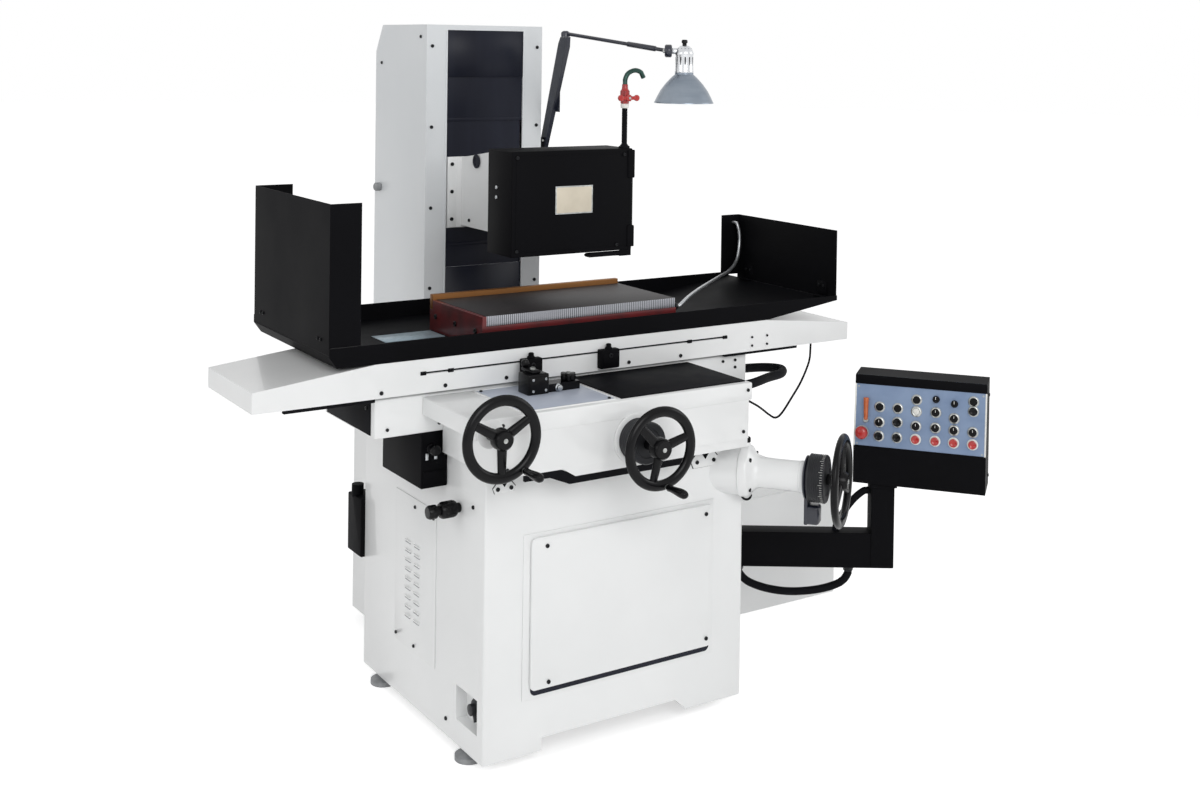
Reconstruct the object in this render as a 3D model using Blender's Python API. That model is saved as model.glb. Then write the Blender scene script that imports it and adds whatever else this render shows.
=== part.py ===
"""Surface grinder: saddle-type, 600 x 300 mm magnetic chuck, built as separate moving pieces.

Machine axes: +X to the right along the table, -Y towards the operator, +Z up, metres.
Every size below is taken in the base's frame, whose origin is on the floor under the middle
of the base's front face. The parent empty moves all of it to the centre of the bounding box.
"""
import math

import bmesh
import bpy
from mathutils import Matrix, Vector

# ---- driving dimensions (metres) -------------------------------------------------------
GAP = 0.0003            # between two pieces that touch
RUN = 0.0003            # radial clearance of a shaft in its bore

BASE_W = 0.780
BASE_D = 0.705
BASE_FOOT = 0.029       # height of the base's underside over the floor
BASE_TOP = 0.742
BASE_WALL = 0.036
BASE_CEILING = 0.075    # thickness left over the base's hollow
ARCH_H = 0.064
ARCH_X = (-0.226, 0.175)
FOOT_R = 0.036
FOOT_X = 0.365
FOOT_Y = (0.115, 0.620)
PEDESTAL_W = 0.500

COVER_W = 0.384         # column cover
COVER_Y = 0.752
COVER_D = 0.355
COVER_TOP = 1.815
COVER_WALL = 0.003
FLANGE_W = 0.066
ROOF_CHAMFER = (0.050, 0.080)

COLUMN_W = 0.300
COLUMN_TOP = 1.720
COLUMN_FRONT = 0.830
COLUMN_BACK = 1.060
WAY_X = (0.085, 0.120)
CHANNEL_W = 0.120
SCREW_R = 0.016
SCREW_Y = 0.880

SLIDE_W = 0.243         # plate of the head that runs in the cover's opening
SLIDE_BACK = 0.800
HEAD_Z = (1.2243, 1.431)
HEAD_W = 0.150
HEAD_FRONT = 0.350
HEAD_RISE = 0.029
NUT_W = 0.070
NUT_Z = (1.280, 1.340)
HEAD_UP = 0.180
HEAD_DOWN = 0.080
PLATE_T = 0.002         # telescopic way-cover plates

GUARD_X = (-0.205, 0.168)
GUARD_Y = (0.220, 0.350)
GUARD_Z = (1.210, 1.484)
GUARD_WALL = 0.005
SPINDLE_X = -0.018
WHEEL_R = 0.127
WHEEL_T = 0.040
WHEEL_SHOW = 0.003      # how far the wheel stands below its guard
WHEEL_Y = 0.282
SPINDLE_R = 0.034
SPINDLE_BACK = 0.620

HOSE_X = 0.150          # coolant line on the guard
HOSE_Y = 0.235
HOSE_R = 0.008
VALVE_Z = 1.620

TABLE_L = 1.815
TABLE_Y = (0.169, 0.485)
TABLE_BOTTOM = 0.904
TABLE_END = 0.954       # top of the wings at the table's ends
TABLE_TOP = 0.9875
TABLE_FLAT = 0.600      # half length of the level middle
TABLE_TRAVEL = 0.300
SADDLE_X = (-0.594, 0.545)
SADDLE_Y = (0.190, 0.500)
SADDLE_Z = (0.800, 0.895)
SADDLE_FOOT_W = 0.720
CROSS_FORWARD = 0.240
CROSS_BACK = 0.050

PAN_X = (-0.700, 0.605)
PAN_END = (-0.720, 0.865)
PAN_END_Z = (1.015, 1.022)
PAN_Y = (0.169, 0.690)
PAN_T = 0.003
LIP_TOP = 1.036
GUARD_L_TOP = 1.378
GUARD_L_WRAP = (0.081, 0.103)
GUARD_R_TOP = 1.227
GUARD_R_WRAP = 0.070
GUARD_R_BACK = 0.640

CHUCK_L = 0.600
CHUCK_W = 0.300
CHUCK_Y = 0.193
CHUCK_H = 0.084
POLE_T = 0.026
CHUCK_CAP = 0.012
RAIL_H = 0.014
RAIL_W = 0.016

APRON_X = (-0.467, 0.345)
APRON_BODY_X = (-0.410, 0.335)
APRON_Y = -0.0894
APRON_TOP = 0.8906
APRON_LID = 0.0456
APRON_BOTTOM = 0.746
APRON_WALL = 0.020
SKIRT_Z = 0.724
SKIRT_T = 0.020

RIM_R = 0.0925          # front handwheels, to the middle of the rim
RIM_TUBE = 0.0095
TRAVERSE_AT = (-0.430, -0.150, 0.859)
CROSS_AT = (-0.023, -0.200, 0.794)
DRUM_R = 0.052
DRUM_L = 0.060
GRIP_R = 0.011
GRIP_L = 0.080

FEED_AT = (0.371, -0.018, 0.640)    # middle of the vertical feed unit's flange
FEED_TURN = -52.0                   # its axis, degrees from +X
FEED_RIM_R = 0.111
FEED_RIM_TUBE = 0.010
FEED_FLANGE = (0.068, 0.028)
FEED_TUBE_R = 0.040
FEED_TUBE_END = 0.170
FEED_DIAL = (0.062, 0.055)
FEED_WHEEL_AT = 0.265
LEVER_W = 0.012         # lever that hangs behind the dial
LEVER_BAR = 0.046
LEVER_DROP = 0.120
LEVER_PAD = 0.040

TANK_X = (0.430, 1.165)
TANK_Y = (0.495, 0.980)
TANK_H = 0.354
TANK_WALL = 0.005

PIVOT = (0.445, 0.245)              # pendant arm's pin
ARM_Z = (0.300, 0.400)
ARM_W = 0.060
ARM_TURN = -33.1
ARM_L = 0.500
POST_W = 0.065
PIN_R = 0.020
CONSOLE_TURN = -51.0
CONSOLE_X = (-0.073, 0.288)         # left and right ends, from the post's axis
CONSOLE_Z = (0.543, 0.842)
CONSOLE_FACE_Z = 0.645              # bottom edge of the sloping face
CONSOLE_FRONT = (-0.050, -0.020)    # front at the face's bottom and top
CONSOLE_BACK = 0.080
CONSOLE_WALL = 0.003
BUTTON_R = 0.0085
BUTTON_OUT = 0.008
BUTTON_TRAVEL = 0.004

LAMP_AT = (0.213, 0.767, 1.460)     # pin of the lower arm
ELBOW_AT = (0.213, 0.652, 1.785)
SWIVEL_AT = (0.326, 0.283, 1.748)
SHADE_AT = (0.362, 0.256)
SHADE_Z = (1.603, 1.683, 1.765)     # rim, neck, top of the socket
SHADE_R = (0.083, 0.026)

# ---- placing and materials -------------------------------------------------------------
FEED_DIR = Vector((math.cos(math.radians(FEED_TURN)), math.sin(math.radians(FEED_TURN)), 0))
ARM_DIR = Vector((math.cos(math.radians(ARM_TURN)), math.sin(math.radians(ARM_TURN)), 0))
POST_AT = Vector((PIVOT[0], PIVOT[1], 0)) + ARM_DIR * ARM_L
SPINDLE_Z = GUARD_Z[0] - WHEEL_SHOW + WHEEL_R
CHUCK_TOP = TABLE_TOP + CHUCK_H
COVER_BACK = COVER_Y + COVER_D
FEED_FRONT = (FEED_AT[1] + FEED_DIR.y * (FEED_WHEEL_AT + FEED_RIM_TUBE * abs(FEED_DIR.y))
              - (FEED_RIM_R + FEED_RIM_TUBE * abs(FEED_DIR.x)) * FEED_DIR.x)
ORIGIN = Vector(((TANK_X[1] - TABLE_L / 2) / 2, (COVER_BACK + FEED_FRONT) / 2, 0))

MATERIALS = {
    "enamel": ((0.80, 0.81, 0.80), 0.35, 0.0),
    "black_sheet": ((0.012, 0.012, 0.014), 0.5, 0.0),
    "navy_plate": ((0.012, 0.015, 0.035), 0.4, 0.0),
    "steel": ((0.50, 0.51, 0.52), 0.3, 1.0),
    "dark_steel": ((0.06, 0.06, 0.07), 0.45, 0.6),
    "chuck_red": ((0.25, 0.012, 0.015), 0.45, 0.0),
    "brass": ((0.60, 0.35, 0.12), 0.35, 1.0),
    "rubber": ((0.015, 0.015, 0.016), 0.8, 0.0),
    "abrasive": ((0.62, 0.60, 0.57), 0.95, 0.0),
    "panel_blue": ((0.22, 0.30, 0.42), 0.4, 0.0),
    "signal_red": ((0.60, 0.02, 0.015), 0.35, 0.0),
    "amber": ((0.75, 0.24, 0.02), 0.3, 0.0),
    "conduit_grey": ((0.62, 0.63, 0.65), 0.4, 0.6),
}


def material(name):
    """The named Principled material, made once."""
    found = bpy.data.materials.get(name)
    if found:
        return found
    colour, roughness, metallic = MATERIALS[name]
    made = bpy.data.materials.new(name)
    made.use_nodes = True
    shader = made.node_tree.nodes["Principled BSDF"]
    shader.inputs["Base Color"].default_value = (*colour, 1)
    shader.inputs["Roughness"].default_value = roughness
    shader.inputs["Metallic"].default_value = metallic
    return made


def collection(name):
    """The named collection, linked to the scene."""
    found = bpy.data.collections.get(name)
    if not found:
        found = bpy.data.collections.new(name)
        bpy.context.scene.collection.children.link(found)
    return found


def empty(name, at=(0, 0, 0), turn=0.0, parent=None):
    """A frame that pieces are parented to, turned about Z by some degrees."""
    made = bpy.data.objects.new(name, None)
    collection("surface_grinder").objects.link(made)
    made.location = at
    made.rotation_euler = (0, 0, math.radians(turn))
    made.parent = parent
    return made


# ---- shapes ----------------------------------------------------------------------------
def put(name, mesh, finish, at=(0, 0, 0), parent=None, group="surface_grinder"):
    """An object of this mesh, placed by its location under its parent."""
    made = bpy.data.objects.new(name, mesh)
    collection(group).objects.link(made)
    made.location = at
    made.parent = parent or bpy.data.objects.get("machine")
    if finish:
        mesh.materials.append(material(finish))
    return made


def mesh_of(bm, name):
    """The bmesh as a mesh with its faces turned outwards."""
    bmesh.ops.recalc_face_normals(bm, faces=bm.faces)
    mesh = bpy.data.meshes.new(name)
    bm.to_mesh(mesh)
    bm.free()
    return mesh


def box_mesh(lo, hi, bevel=0.0, segments=2):
    """A box between two corners, its edges rounded."""
    bm = bmesh.new()
    bmesh.ops.create_cube(bm, size=1.0)
    size = [b - a for a, b in zip(lo, hi)]
    middle = [(a + b) / 2 for a, b in zip(lo, hi)]
    bmesh.ops.scale(bm, vec=size, verts=bm.verts)
    bmesh.ops.translate(bm, vec=middle, verts=bm.verts)
    if bevel:
        bmesh.ops.bevel(bm, geom=bm.edges[:], offset=bevel, segments=segments, profile=0.5,
                        affect="EDGES", material=-1)
    return mesh_of(bm, "box")


def box(name, lo, hi, finish, bevel=0.0, parent=None, at=(0, 0, 0), segments=2):
    """A box piece between two corners."""
    low = [a - o for a, o in zip(lo, at)]
    high = [b - o for b, o in zip(hi, at)]
    return put(name, box_mesh(low, high, bevel, segments), finish, at, parent)


def rod_mesh(start, end, radius, end_radius=None, segments=24):
    """A cylinder or cone between two points."""
    start, end = Vector(start), Vector(end)
    along = end - start
    bm = bmesh.new()
    bmesh.ops.create_cone(bm, cap_ends=True, segments=segments, radius1=radius,
                          radius2=radius if end_radius is None else end_radius, depth=along.length)
    turn = along.to_track_quat("Z", "Y").to_matrix().to_4x4()
    bmesh.ops.transform(bm, matrix=Matrix.Translation((start + end) / 2) @ turn, verts=bm.verts)
    return mesh_of(bm, "rod")


def prism_mesh(outline, plane, lo, hi):
    """A flat outline in the XZ, YZ or XY plane, given thickness along the third axis."""
    spots = {"XZ": lambda a, b: (a, lo, b), "YZ": lambda a, b: (lo, a, b), "XY": lambda a, b: (a, b, lo)}
    push = {"XZ": (0, hi - lo, 0), "YZ": (hi - lo, 0, 0), "XY": (0, 0, hi - lo)}
    bm = bmesh.new()
    corners = [bm.verts.new(spots[plane](a, b)) for a, b in outline]
    face = bm.faces.new(corners)
    grown = bmesh.ops.extrude_face_region(bm, geom=[face])
    moved = [v for v in grown["geom"] if isinstance(v, bmesh.types.BMVert)]
    bmesh.ops.translate(bm, vec=push[plane], verts=moved)
    return mesh_of(bm, "prism")


def turned_mesh(profile, start, along, segments=32):
    """A profile of (radius, distance) points turned about a line."""
    bm = bmesh.new()
    points = [bm.verts.new((radius, 0, height)) for radius, height in profile]
    edges = [bm.edges.new(pair) for pair in zip(points, points[1:])]
    bmesh.ops.spin(bm, geom=points + edges, cent=(0, 0, 0), axis=(0, 0, 1), angle=math.tau,
                   steps=segments, use_merge=True)
    bmesh.ops.remove_doubles(bm, verts=bm.verts, dist=0.00001)
    turn = Vector(along).to_track_quat("Z", "Y").to_matrix().to_4x4()
    bmesh.ops.transform(bm, matrix=Matrix.Translation(start) @ turn, verts=bm.verts)
    return mesh_of(bm, "turned")


def ring_mesh(centre, along, radius, tube, segments=32, sides=8):
    """A handwheel's rim: a circle turned about a line."""
    profile = []
    for step in range(sides + 1):
        angle = math.tau * step / sides
        profile.append((radius + tube * math.cos(angle), tube * math.sin(angle)))
    return turned_mesh(profile, centre, along, segments)


def smooth_route(points, step):
    """Points on a smooth curve through a cord's own points, its first and last legs straight."""
    knots = [Vector(p) for p in points]
    out = [knots[0]]
    for a, b, c, d in zip(knots, knots[1:], knots[2:], knots[3:]):
        count = max(2, round((c - b).length / step))
        for i in range(count):
            t = i / count
            out.append(0.5 * (2 * b + (c - a) * t + (2 * a - 5 * b + 4 * c - d) * t * t
                              + (3 * b - a - 3 * c + d) * t ** 3))
    return out + knots[-2:]


def tube(name, points, radius, finish, step=0.025, parent=None, resolution=2):
    """A cord or pipe as a round curve with filled caps."""
    curve = bpy.data.curves.new(name, "CURVE")
    curve.dimensions = "3D"
    curve.bevel_depth = radius
    curve.bevel_resolution = resolution
    curve.use_fill_caps = True
    route = smooth_route(points, step)
    spline = curve.splines.new("POLY")
    spline.points.add(len(route) - 1)
    for spot, point in zip(spline.points, route):
        spot.co = (*point, 1)
    made = put(name, curve, finish, parent=parent)
    return made


def as_mesh(made):
    """A tube turned into a closed mesh, so that it can be cut or joined."""
    shape = bpy.data.meshes.new_from_object(made.evaluated_get(bpy.context.evaluated_depsgraph_get()))
    bm = bmesh.new()
    bm.from_mesh(shape)
    bmesh.ops.remove_doubles(bm, verts=bm.verts, dist=0.00001)
    bpy.data.objects.remove(made)
    return mesh_of(bm, "tube")


def combine(target, mesh, operation):
    """Cuts a mesh out of a piece, or joins it to the piece."""
    helper = put("helper", mesh, None, target.location, target.parent, "cutters")
    helper.display_type = "WIRE"
    helper.hide_render = True
    bpy.context.view_layer.update()
    step = target.modifiers.new(operation, "BOOLEAN")
    step.operation = operation
    step.object = helper
    helper.name = f"{target.name}_{operation.lower()}_{len(target.modifiers)}"


def cut(target, *meshes):
    """Cuts shapes out of a piece."""
    for mesh in meshes:
        combine(target, mesh, "DIFFERENCE")


def join(target, *meshes):
    """Joins shapes to a piece."""
    for mesh in meshes:
        combine(target, mesh, "UNION")


# ---- base, column and tank -------------------------------------------------------------
def make_base():
    """Base casting with its arch, hollow, feet, pedestal, feed boss and pendant lugs."""
    half = BASE_W / 2
    base = box("base_casting", (-half, 0, BASE_FOOT), (half, BASE_D, BASE_TOP), "enamel", 0.006)
    join(base, box_mesh((-PEDESTAL_W / 2, BASE_D - 0.02, BASE_FOOT),
                        (PEDESTAL_W / 2, COVER_BACK - 0.001, BASE_TOP)))
    boss = Vector(FEED_AT)
    join(base, rod_mesh(boss - FEED_DIR * 0.13, boss - FEED_DIR * GAP, FEED_FLANGE[0] - 0.004))
    cut(base, box_mesh((-half + BASE_WALL, BASE_WALL, 0),
                       (half - BASE_WALL, BASE_D - BASE_WALL, BASE_TOP - BASE_CEILING)),
        box_mesh((-PEDESTAL_W / 2 + BASE_WALL, BASE_D + 0.01, 0),
                 (PEDESTAL_W / 2 - BASE_WALL, COVER_BACK - BASE_WALL, BASE_TOP - BASE_CEILING)))
    arch = [(ARCH_X[0], 0), (ARCH_X[1] + 0.04, 0), (ARCH_X[1] + 0.04, BASE_FOOT),
            (ARCH_X[1], ARCH_H), (ARCH_X[0], ARCH_H)]
    cut(base, prism_mesh(arch, "XZ", -0.02, BASE_D - 0.01))
    cut(base, box_mesh((-half - 0.01, 0.030, 0.095), (-half + 0.030, 0.140, 0.180)))
    for x in (-FOOT_X, FOOT_X):
        for y in FOOT_Y:
            foot = [(0, 0), (FOOT_R, 0), (FOOT_R, 0.012), (0.014, 0.022), (0.014, BASE_FOOT + 0.01),
                    (0, BASE_FOOT + 0.01)]
            join(base, turned_mesh(foot, (x, y, 0), (0, 0, 1), 20))
    for low in (ARM_Z[0] - 0.035, ARM_Z[1] + GAP):
        join(base, box_mesh((half - 0.01, PIVOT[1] - 0.03, low),
                            (PIVOT[0] + 0.03, PIVOT[1] + 0.03, low + 0.035 - GAP)))
    join(base, rod_mesh((*PIVOT, ARM_Z[0] - 0.02), (*PIVOT, ARM_Z[1] + 0.02), PIN_R))


def make_panels():
    """Front cover plate and the louvred panel on the left wall."""
    box("front_cover_plate", (-0.267, -0.014, 0.190), (0.278, -GAP, 0.563), "enamel", 0.004)
    box("louvre_panel", (-BASE_W / 2 - 0.0025, 0.257, 0.175), (-BASE_W / 2 - GAP, 0.495, 0.576), "enamel")


def cover_outline(inset):
    """Side view of the column cover, with its sloping rear roof edge."""
    y0, y1, top = COVER_Y + inset, COVER_BACK - inset, COVER_TOP - inset
    return [(y0, BASE_TOP + GAP - (0.01 if inset else 0)), (y1, BASE_TOP + GAP - (0.01 if inset else 0)),
            (y1, top - ROOF_CHAMFER[1]), (y1 - ROOF_CHAMFER[0], top), (y0, top)]


def make_column():
    """Sheet cover with fixed plates above and below its opening, and the casting inside."""
    half = COVER_W / 2
    cover = put("column_cover", prism_mesh(cover_outline(0), "YZ", -half, half), "enamel")
    cut(cover, prism_mesh(cover_outline(COVER_WALL), "YZ", -half + COVER_WALL, half - COVER_WALL))
    opening = half - FLANGE_W
    low = HEAD_Z[0] - HEAD_DOWN - 0.034
    high = HEAD_Z[1] + HEAD_UP + 0.053
    cut(cover, box_mesh((-opening, COVER_Y - 0.01, low), (opening, COVER_Y + 0.01, high)))
    casting = box("column_casting", (-COLUMN_W / 2, COLUMN_FRONT, BASE_TOP + GAP),
                  (COLUMN_W / 2, COLUMN_BACK, COLUMN_TOP), "dark_steel", 0.004)
    for side in (-1, 1):
        x0, x1 = sorted((side * WAY_X[0], side * WAY_X[1]))
        join(casting, box_mesh((x0, SLIDE_BACK + GAP, 0.80), (x1, COLUMN_FRONT + 0.01, 1.70)))
    cut(casting, box_mesh((-CHANNEL_W / 2, COLUMN_FRONT - 0.02, 0.80), (CHANNEL_W / 2, 1.00, 1.70)))
    put("elevation_screw", rod_mesh((0, 0, 0), (0, 0, 0.90 - 2 * GAP), SCREW_R, segments=20), "steel",
        (0, SCREW_Y, 0.80 + GAP))


def make_tank():
    """Coolant tank with its return pipe, the black box behind the base and the wall knob."""
    tank = box("coolant_tank", (TANK_X[0], TANK_Y[0], 0), (TANK_X[1], TANK_Y[1], TANK_H), "enamel", 0.003)
    cut(tank, box_mesh((TANK_X[0] + TANK_WALL, TANK_Y[0] + TANK_WALL, -0.01),
                       (TANK_X[1] - TANK_WALL, TANK_Y[1] - TANK_WALL, TANK_H - TANK_WALL)))
    join(tank, rod_mesh((BASE_W / 2 + GAP, 0.60, 0.28), (TANK_X[0] + 0.003, 0.60, 0.28), 0.022))
    rear = box("rear_box", (-0.400, BASE_D + GAP, 0.324), (-0.300, BASE_D + 0.095, 0.486), "black_sheet",
               0.004)
    join(rear, rod_mesh((-0.385, BASE_D + 0.06, 0.480), (-0.385, BASE_D + 0.06, 0.515), 0.017, segments=16))
    knob = [(0, 0), (0.012, 0), (0.012, 0.012), (0.020, 0.016), (0.020, 0.052), (0.012, 0.056),
            (0.012, 0.064), (0.017, 0.067), (0.017, 0.086), (0, 0.089)]
    put("wall_knob", turned_mesh(knob, (0, 0, 0), (-1, 0, 0), 20), "rubber",
        (-BASE_W / 2 - GAP, 0.131, 0.621))


# ---- head, guard, wheel and coolant line -----------------------------------------------
def make_head():
    """Slide plate, spindle housing, nut and the plates fixed to the head."""
    half = SLIDE_W / 2
    head = box("head_casting", (-half, COVER_Y, HEAD_Z[0]), (half, SLIDE_BACK, HEAD_Z[1]), "enamel", 0.002)
    low = HEAD_Z[0] + 0.006
    side = [(HEAD_FRONT + GAP, low), (COVER_Y + 0.01, low), (COVER_Y + 0.01, HEAD_Z[1] - 0.002),
            (COVER_Y, HEAD_Z[1] - 0.002), (HEAD_FRONT + 0.20, HEAD_Z[1] + HEAD_RISE),
            (HEAD_FRONT + GAP, HEAD_Z[1] + HEAD_RISE)]
    join(head, prism_mesh(side, "YZ", -HEAD_W / 2, HEAD_W / 2))
    join(head, box_mesh((-NUT_W / 2, SLIDE_BACK - 0.01, NUT_Z[0]), (NUT_W / 2, SCREW_Y + 0.035, NUT_Z[1])))
    back = COVER_Y + COVER_WALL + PLATE_T + 2 * GAP
    join(head, box_mesh((-half, back, 1.06), (half, back + PLATE_T, 1.62)))
    cut(head, rod_mesh((0, SCREW_Y, NUT_Z[0] - 0.01), (0, SCREW_Y, NUT_Z[1] + 0.01), SCREW_R + RUN,
                       segments=20))
    cut(head, rod_mesh((SPINDLE_X, HEAD_FRONT - 0.01, SPINDLE_Z), (SPINDLE_X, SPINDLE_BACK + GAP, SPINDLE_Z),
                       SPINDLE_R + RUN, segments=32))
    middle = COVER_Y + COVER_WALL + GAP
    half = COVER_W / 2 - COVER_WALL - 0.02
    for name, z0, z1 in (("way_plate_upper", 1.534, 1.712), ("way_plate_lower", 1.000, 1.180)):
        box(name, (-half, middle, z0), (half, middle + PLATE_T, z1), "navy_plate",
            at=(0, middle, (z0 + z1) / 2))


def make_wheel_guard():
    """Black guard, open below, with the coolant nozzle at its lower right corner."""
    lo = (GUARD_X[0], GUARD_Y[0], GUARD_Z[0])
    hi = (GUARD_X[1], GUARD_Y[1], GUARD_Z[1])
    guard = box("wheel_guard", lo, hi, "black_sheet", 0.003)
    cut(guard, box_mesh((lo[0] + GUARD_WALL, lo[1] + GUARD_WALL, lo[2] - 0.05),
                        (hi[0] - GUARD_WALL, hi[1] - GUARD_WALL, hi[2] - GUARD_WALL)))
    cut(guard, rod_mesh((SPINDLE_X, GUARD_Y[1] - 0.02, SPINDLE_Z), (SPINDLE_X, GUARD_Y[1] + 0.02, SPINDLE_Z),
                        SPINDLE_R + 0.004, segments=32))
    join(guard, box_mesh((0.035, 0.2215, GUARD_Z[0] - 0.014),
                         (GUARD_X[1] - 0.002, 0.243, GUARD_Z[0] - 0.004)),
         box_mesh((0.130, 0.2215, GUARD_Z[0] - 0.016), (GUARD_X[1] - 0.001, 0.2235, GUARD_Z[0] + 0.01)))


def make_wheel():
    """Spindle with its flanges, and the grinding wheel clamped between them."""
    back = WHEEL_Y + WHEEL_T / 2
    front = WHEEL_Y - WHEEL_T / 2
    flange = 0.045
    shaft = [(0, SPINDLE_BACK - WHEEL_Y), (SPINDLE_R, SPINDLE_BACK - WHEEL_Y),
             (SPINDLE_R, back + 0.012 - WHEEL_Y),
             (flange, back + 0.012 - WHEEL_Y), (flange, back + GAP - WHEEL_Y), (0.020, back + GAP - WHEEL_Y),
             (0.020, front - GAP - WHEEL_Y), (flange, front - GAP - WHEEL_Y), (flange - 0.004,
                                                                               front - 0.014 - WHEEL_Y),
             (0.014, front - 0.014 - WHEEL_Y), (0.014, front - 0.028 - WHEEL_Y), (0, front - 0.028 - WHEEL_Y)]
    at = (SPINDLE_X, WHEEL_Y, SPINDLE_Z)
    put("spindle", turned_mesh(shaft, (0, 0, 0), (0, 1, 0)), "steel", at)
    ring = [(0.020 + RUN, -WHEEL_T / 2), (WHEEL_R, -WHEEL_T / 2), (WHEEL_R, WHEEL_T / 2),
            (0.020 + RUN, WHEEL_T / 2), (0.020 + RUN, -WHEEL_T / 2)]
    put("grinding_wheel", turned_mesh(ring, (0, 0, 0), (0, 1, 0), 48), "abrasive", at)


def make_coolant():
    """Hose, valve body and hooked outlet on the guard, and the valve's lever."""
    bottom = GUARD_Z[1] + GAP
    profile = [(0, 0), (0.015, 0), (0.015, 0.006), (HOSE_R, 0.008), (HOSE_R, 0.112), (0.011, 0.114),
               (0.011, 0.126), (0.013, 0.128), (0.013, 0.160), (0.008, 0.164), (0.008, 0.172), (0, 0.172)]
    line = put("coolant_line", turned_mesh(profile, (0, 0, 0), (0, 0, 1), 16), "rubber",
               (HOSE_X, HOSE_Y, bottom))
    hook = [(0, 0, 0.165), (0, 0, 0.184), (0.010, 0, 0.202), (0.032, 0, 0.210), (0.052, 0, 0.204),
            (0.060, 0, 0.190)]
    join(line, as_mesh(tube("hook", hook, 0.0065, "brass", 0.008)))
    box("valve_lever", (HOSE_X - 0.008, HOSE_Y - 0.024, VALVE_Z - 0.007),
        (HOSE_X + 0.034, HOSE_Y - 0.013 - GAP, VALVE_Z + 0.007), "signal_red", 0.003,
        at=(HOSE_X, HOSE_Y - 0.013, VALVE_Z))


# ---- saddle, apron and front controls --------------------------------------------------
def make_saddle():
    """Saddle with its foot on the base, the valve box under it and the bent hose."""
    saddle = box("saddle_casting", (SADDLE_X[0], SADDLE_Y[0], SADDLE_Z[0]),
                 (SADDLE_X[1], SADDLE_Y[1], SADDLE_Z[1]),
                 "enamel", 0.004)
    foot = SADDLE_FOOT_W / 2
    join(saddle, box_mesh((-foot, SADDLE_Y[0] + 0.004, BASE_TOP + GAP),
                          (foot, SADDLE_Y[1] - 0.01, SADDLE_Z[0] + 0.01)))
    valve = box("valve_box", (-0.463, 0.200, 0.657), (-BASE_W / 2 - 0.0005, 0.430, SADDLE_Z[0] - GAP),
                "black_sheet",
                0.003)
    join(valve, rod_mesh((-0.437, 0.205, 0.757), (-0.437, 0.170, 0.757), 0.012, segments=16))
    right = SADDLE_X[1] + GAP
    tube("bent_hose", [(right, 0.300, 0.822), (0.620, 0.300, 0.822), (0.700, 0.295, 0.818),
                       (0.733, 0.262, 0.816), (0.700, 0.222, 0.814), (0.620, 0.185, 0.818),
                       (0.520, 0.140, 0.820), (0.390, 0.120, 0.820), (APRON_X[1] + GAP, 0.120, 0.820)],
         0.013, "rubber", 0.03)


def make_apron():
    """Apron in front of the saddle: overhanging lid, body and front skirt."""
    back = SADDLE_Y[0] - GAP
    apron = box("apron", (APRON_X[0], APRON_Y, APRON_TOP - APRON_LID), (APRON_X[1], back, APRON_TOP),
                "enamel", 0.004)
    left, right = APRON_BODY_X
    join(apron, box_mesh((left, APRON_Y + 0.002, APRON_BOTTOM), (right, back - 0.001, APRON_TOP - 0.02)))
    skirt = [(-0.245, APRON_BOTTOM + 0.01), (-0.192, SKIRT_Z), (right - 0.002, SKIRT_Z),
             (right - 0.002, APRON_BOTTOM + 0.01)]
    join(apron, prism_mesh(skirt, "XZ", APRON_Y + 0.003, APRON_Y + SKIRT_T))
    cut(apron, box_mesh((left + APRON_WALL, APRON_Y + 0.030, SKIRT_Z - 0.01),
                        (right - APRON_WALL, back - APRON_WALL, APRON_TOP - APRON_WALL)))
    block = box("reversing_block", (-0.240, 0.062, APRON_TOP + GAP), (-0.180, 0.115, 0.942), "rubber", 0.003)
    join(block, box_mesh((-0.182, 0.070, APRON_TOP + GAP), (-0.085, 0.110, 0.912)))
    box("reversing_lever", (-0.224, 0.070, 0.942 + GAP), (-0.200, 0.140, 0.950), "rubber", 0.002,
        at=(-0.212, 0.090, 0.946))
    star = star_mesh(0.021, 0.016, 6, 0.018)
    put("stroke_knob", star, "rubber", (-0.108, 0.090, 0.912 + GAP))


def star_mesh(outer, inner, lobes, height):
    """A star grip: a lobed outline with thickness, standing on its origin."""
    outline = []
    for step in range(lobes * 4):
        angle = math.tau * step / (lobes * 4)
        radius = inner + (outer - inner) * (0.5 + 0.5 * math.cos(lobes * angle))
        outline.append((radius * math.cos(angle), radius * math.sin(angle)))
    return prism_mesh(outline, "XY", 0, height)


def handwheel(name, at, along, rim, thickness, back, hub=0.024, spokes=(90, 210, 330), drum=None):
    """A three-spoke handwheel in its own frame: rim, hub, spokes and a shaft to its housing."""
    along = Vector(along)
    profile = [(0, -0.018), (hub * 0.7, -0.016), (hub, -0.008), (hub, 0.012), (0.014, 0.018)]
    if drum:
        profile += [(0.014, back - drum[1]), (drum[0], back - drum[1]), (drum[0], back), (0, back)]
    else:
        profile += [(0.014, back), (0, back)]
    wheel = put(name, turned_mesh(profile, (0, 0, 0), -along, 24), "rubber", at)
    join(wheel, ring_mesh((0, 0, 0), along, rim, thickness))
    side = Vector((0, 0, 1)).cross(along).normalized()
    for angle in spokes:
        a = math.radians(angle)
        out = side * math.cos(a) + Vector((0, 0, 1)) * math.sin(a)
        join(wheel, rod_mesh(out * (hub - 0.006), out * (rim - thickness * 0.4), 0.0085, 0.007, 10))
    return wheel


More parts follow.
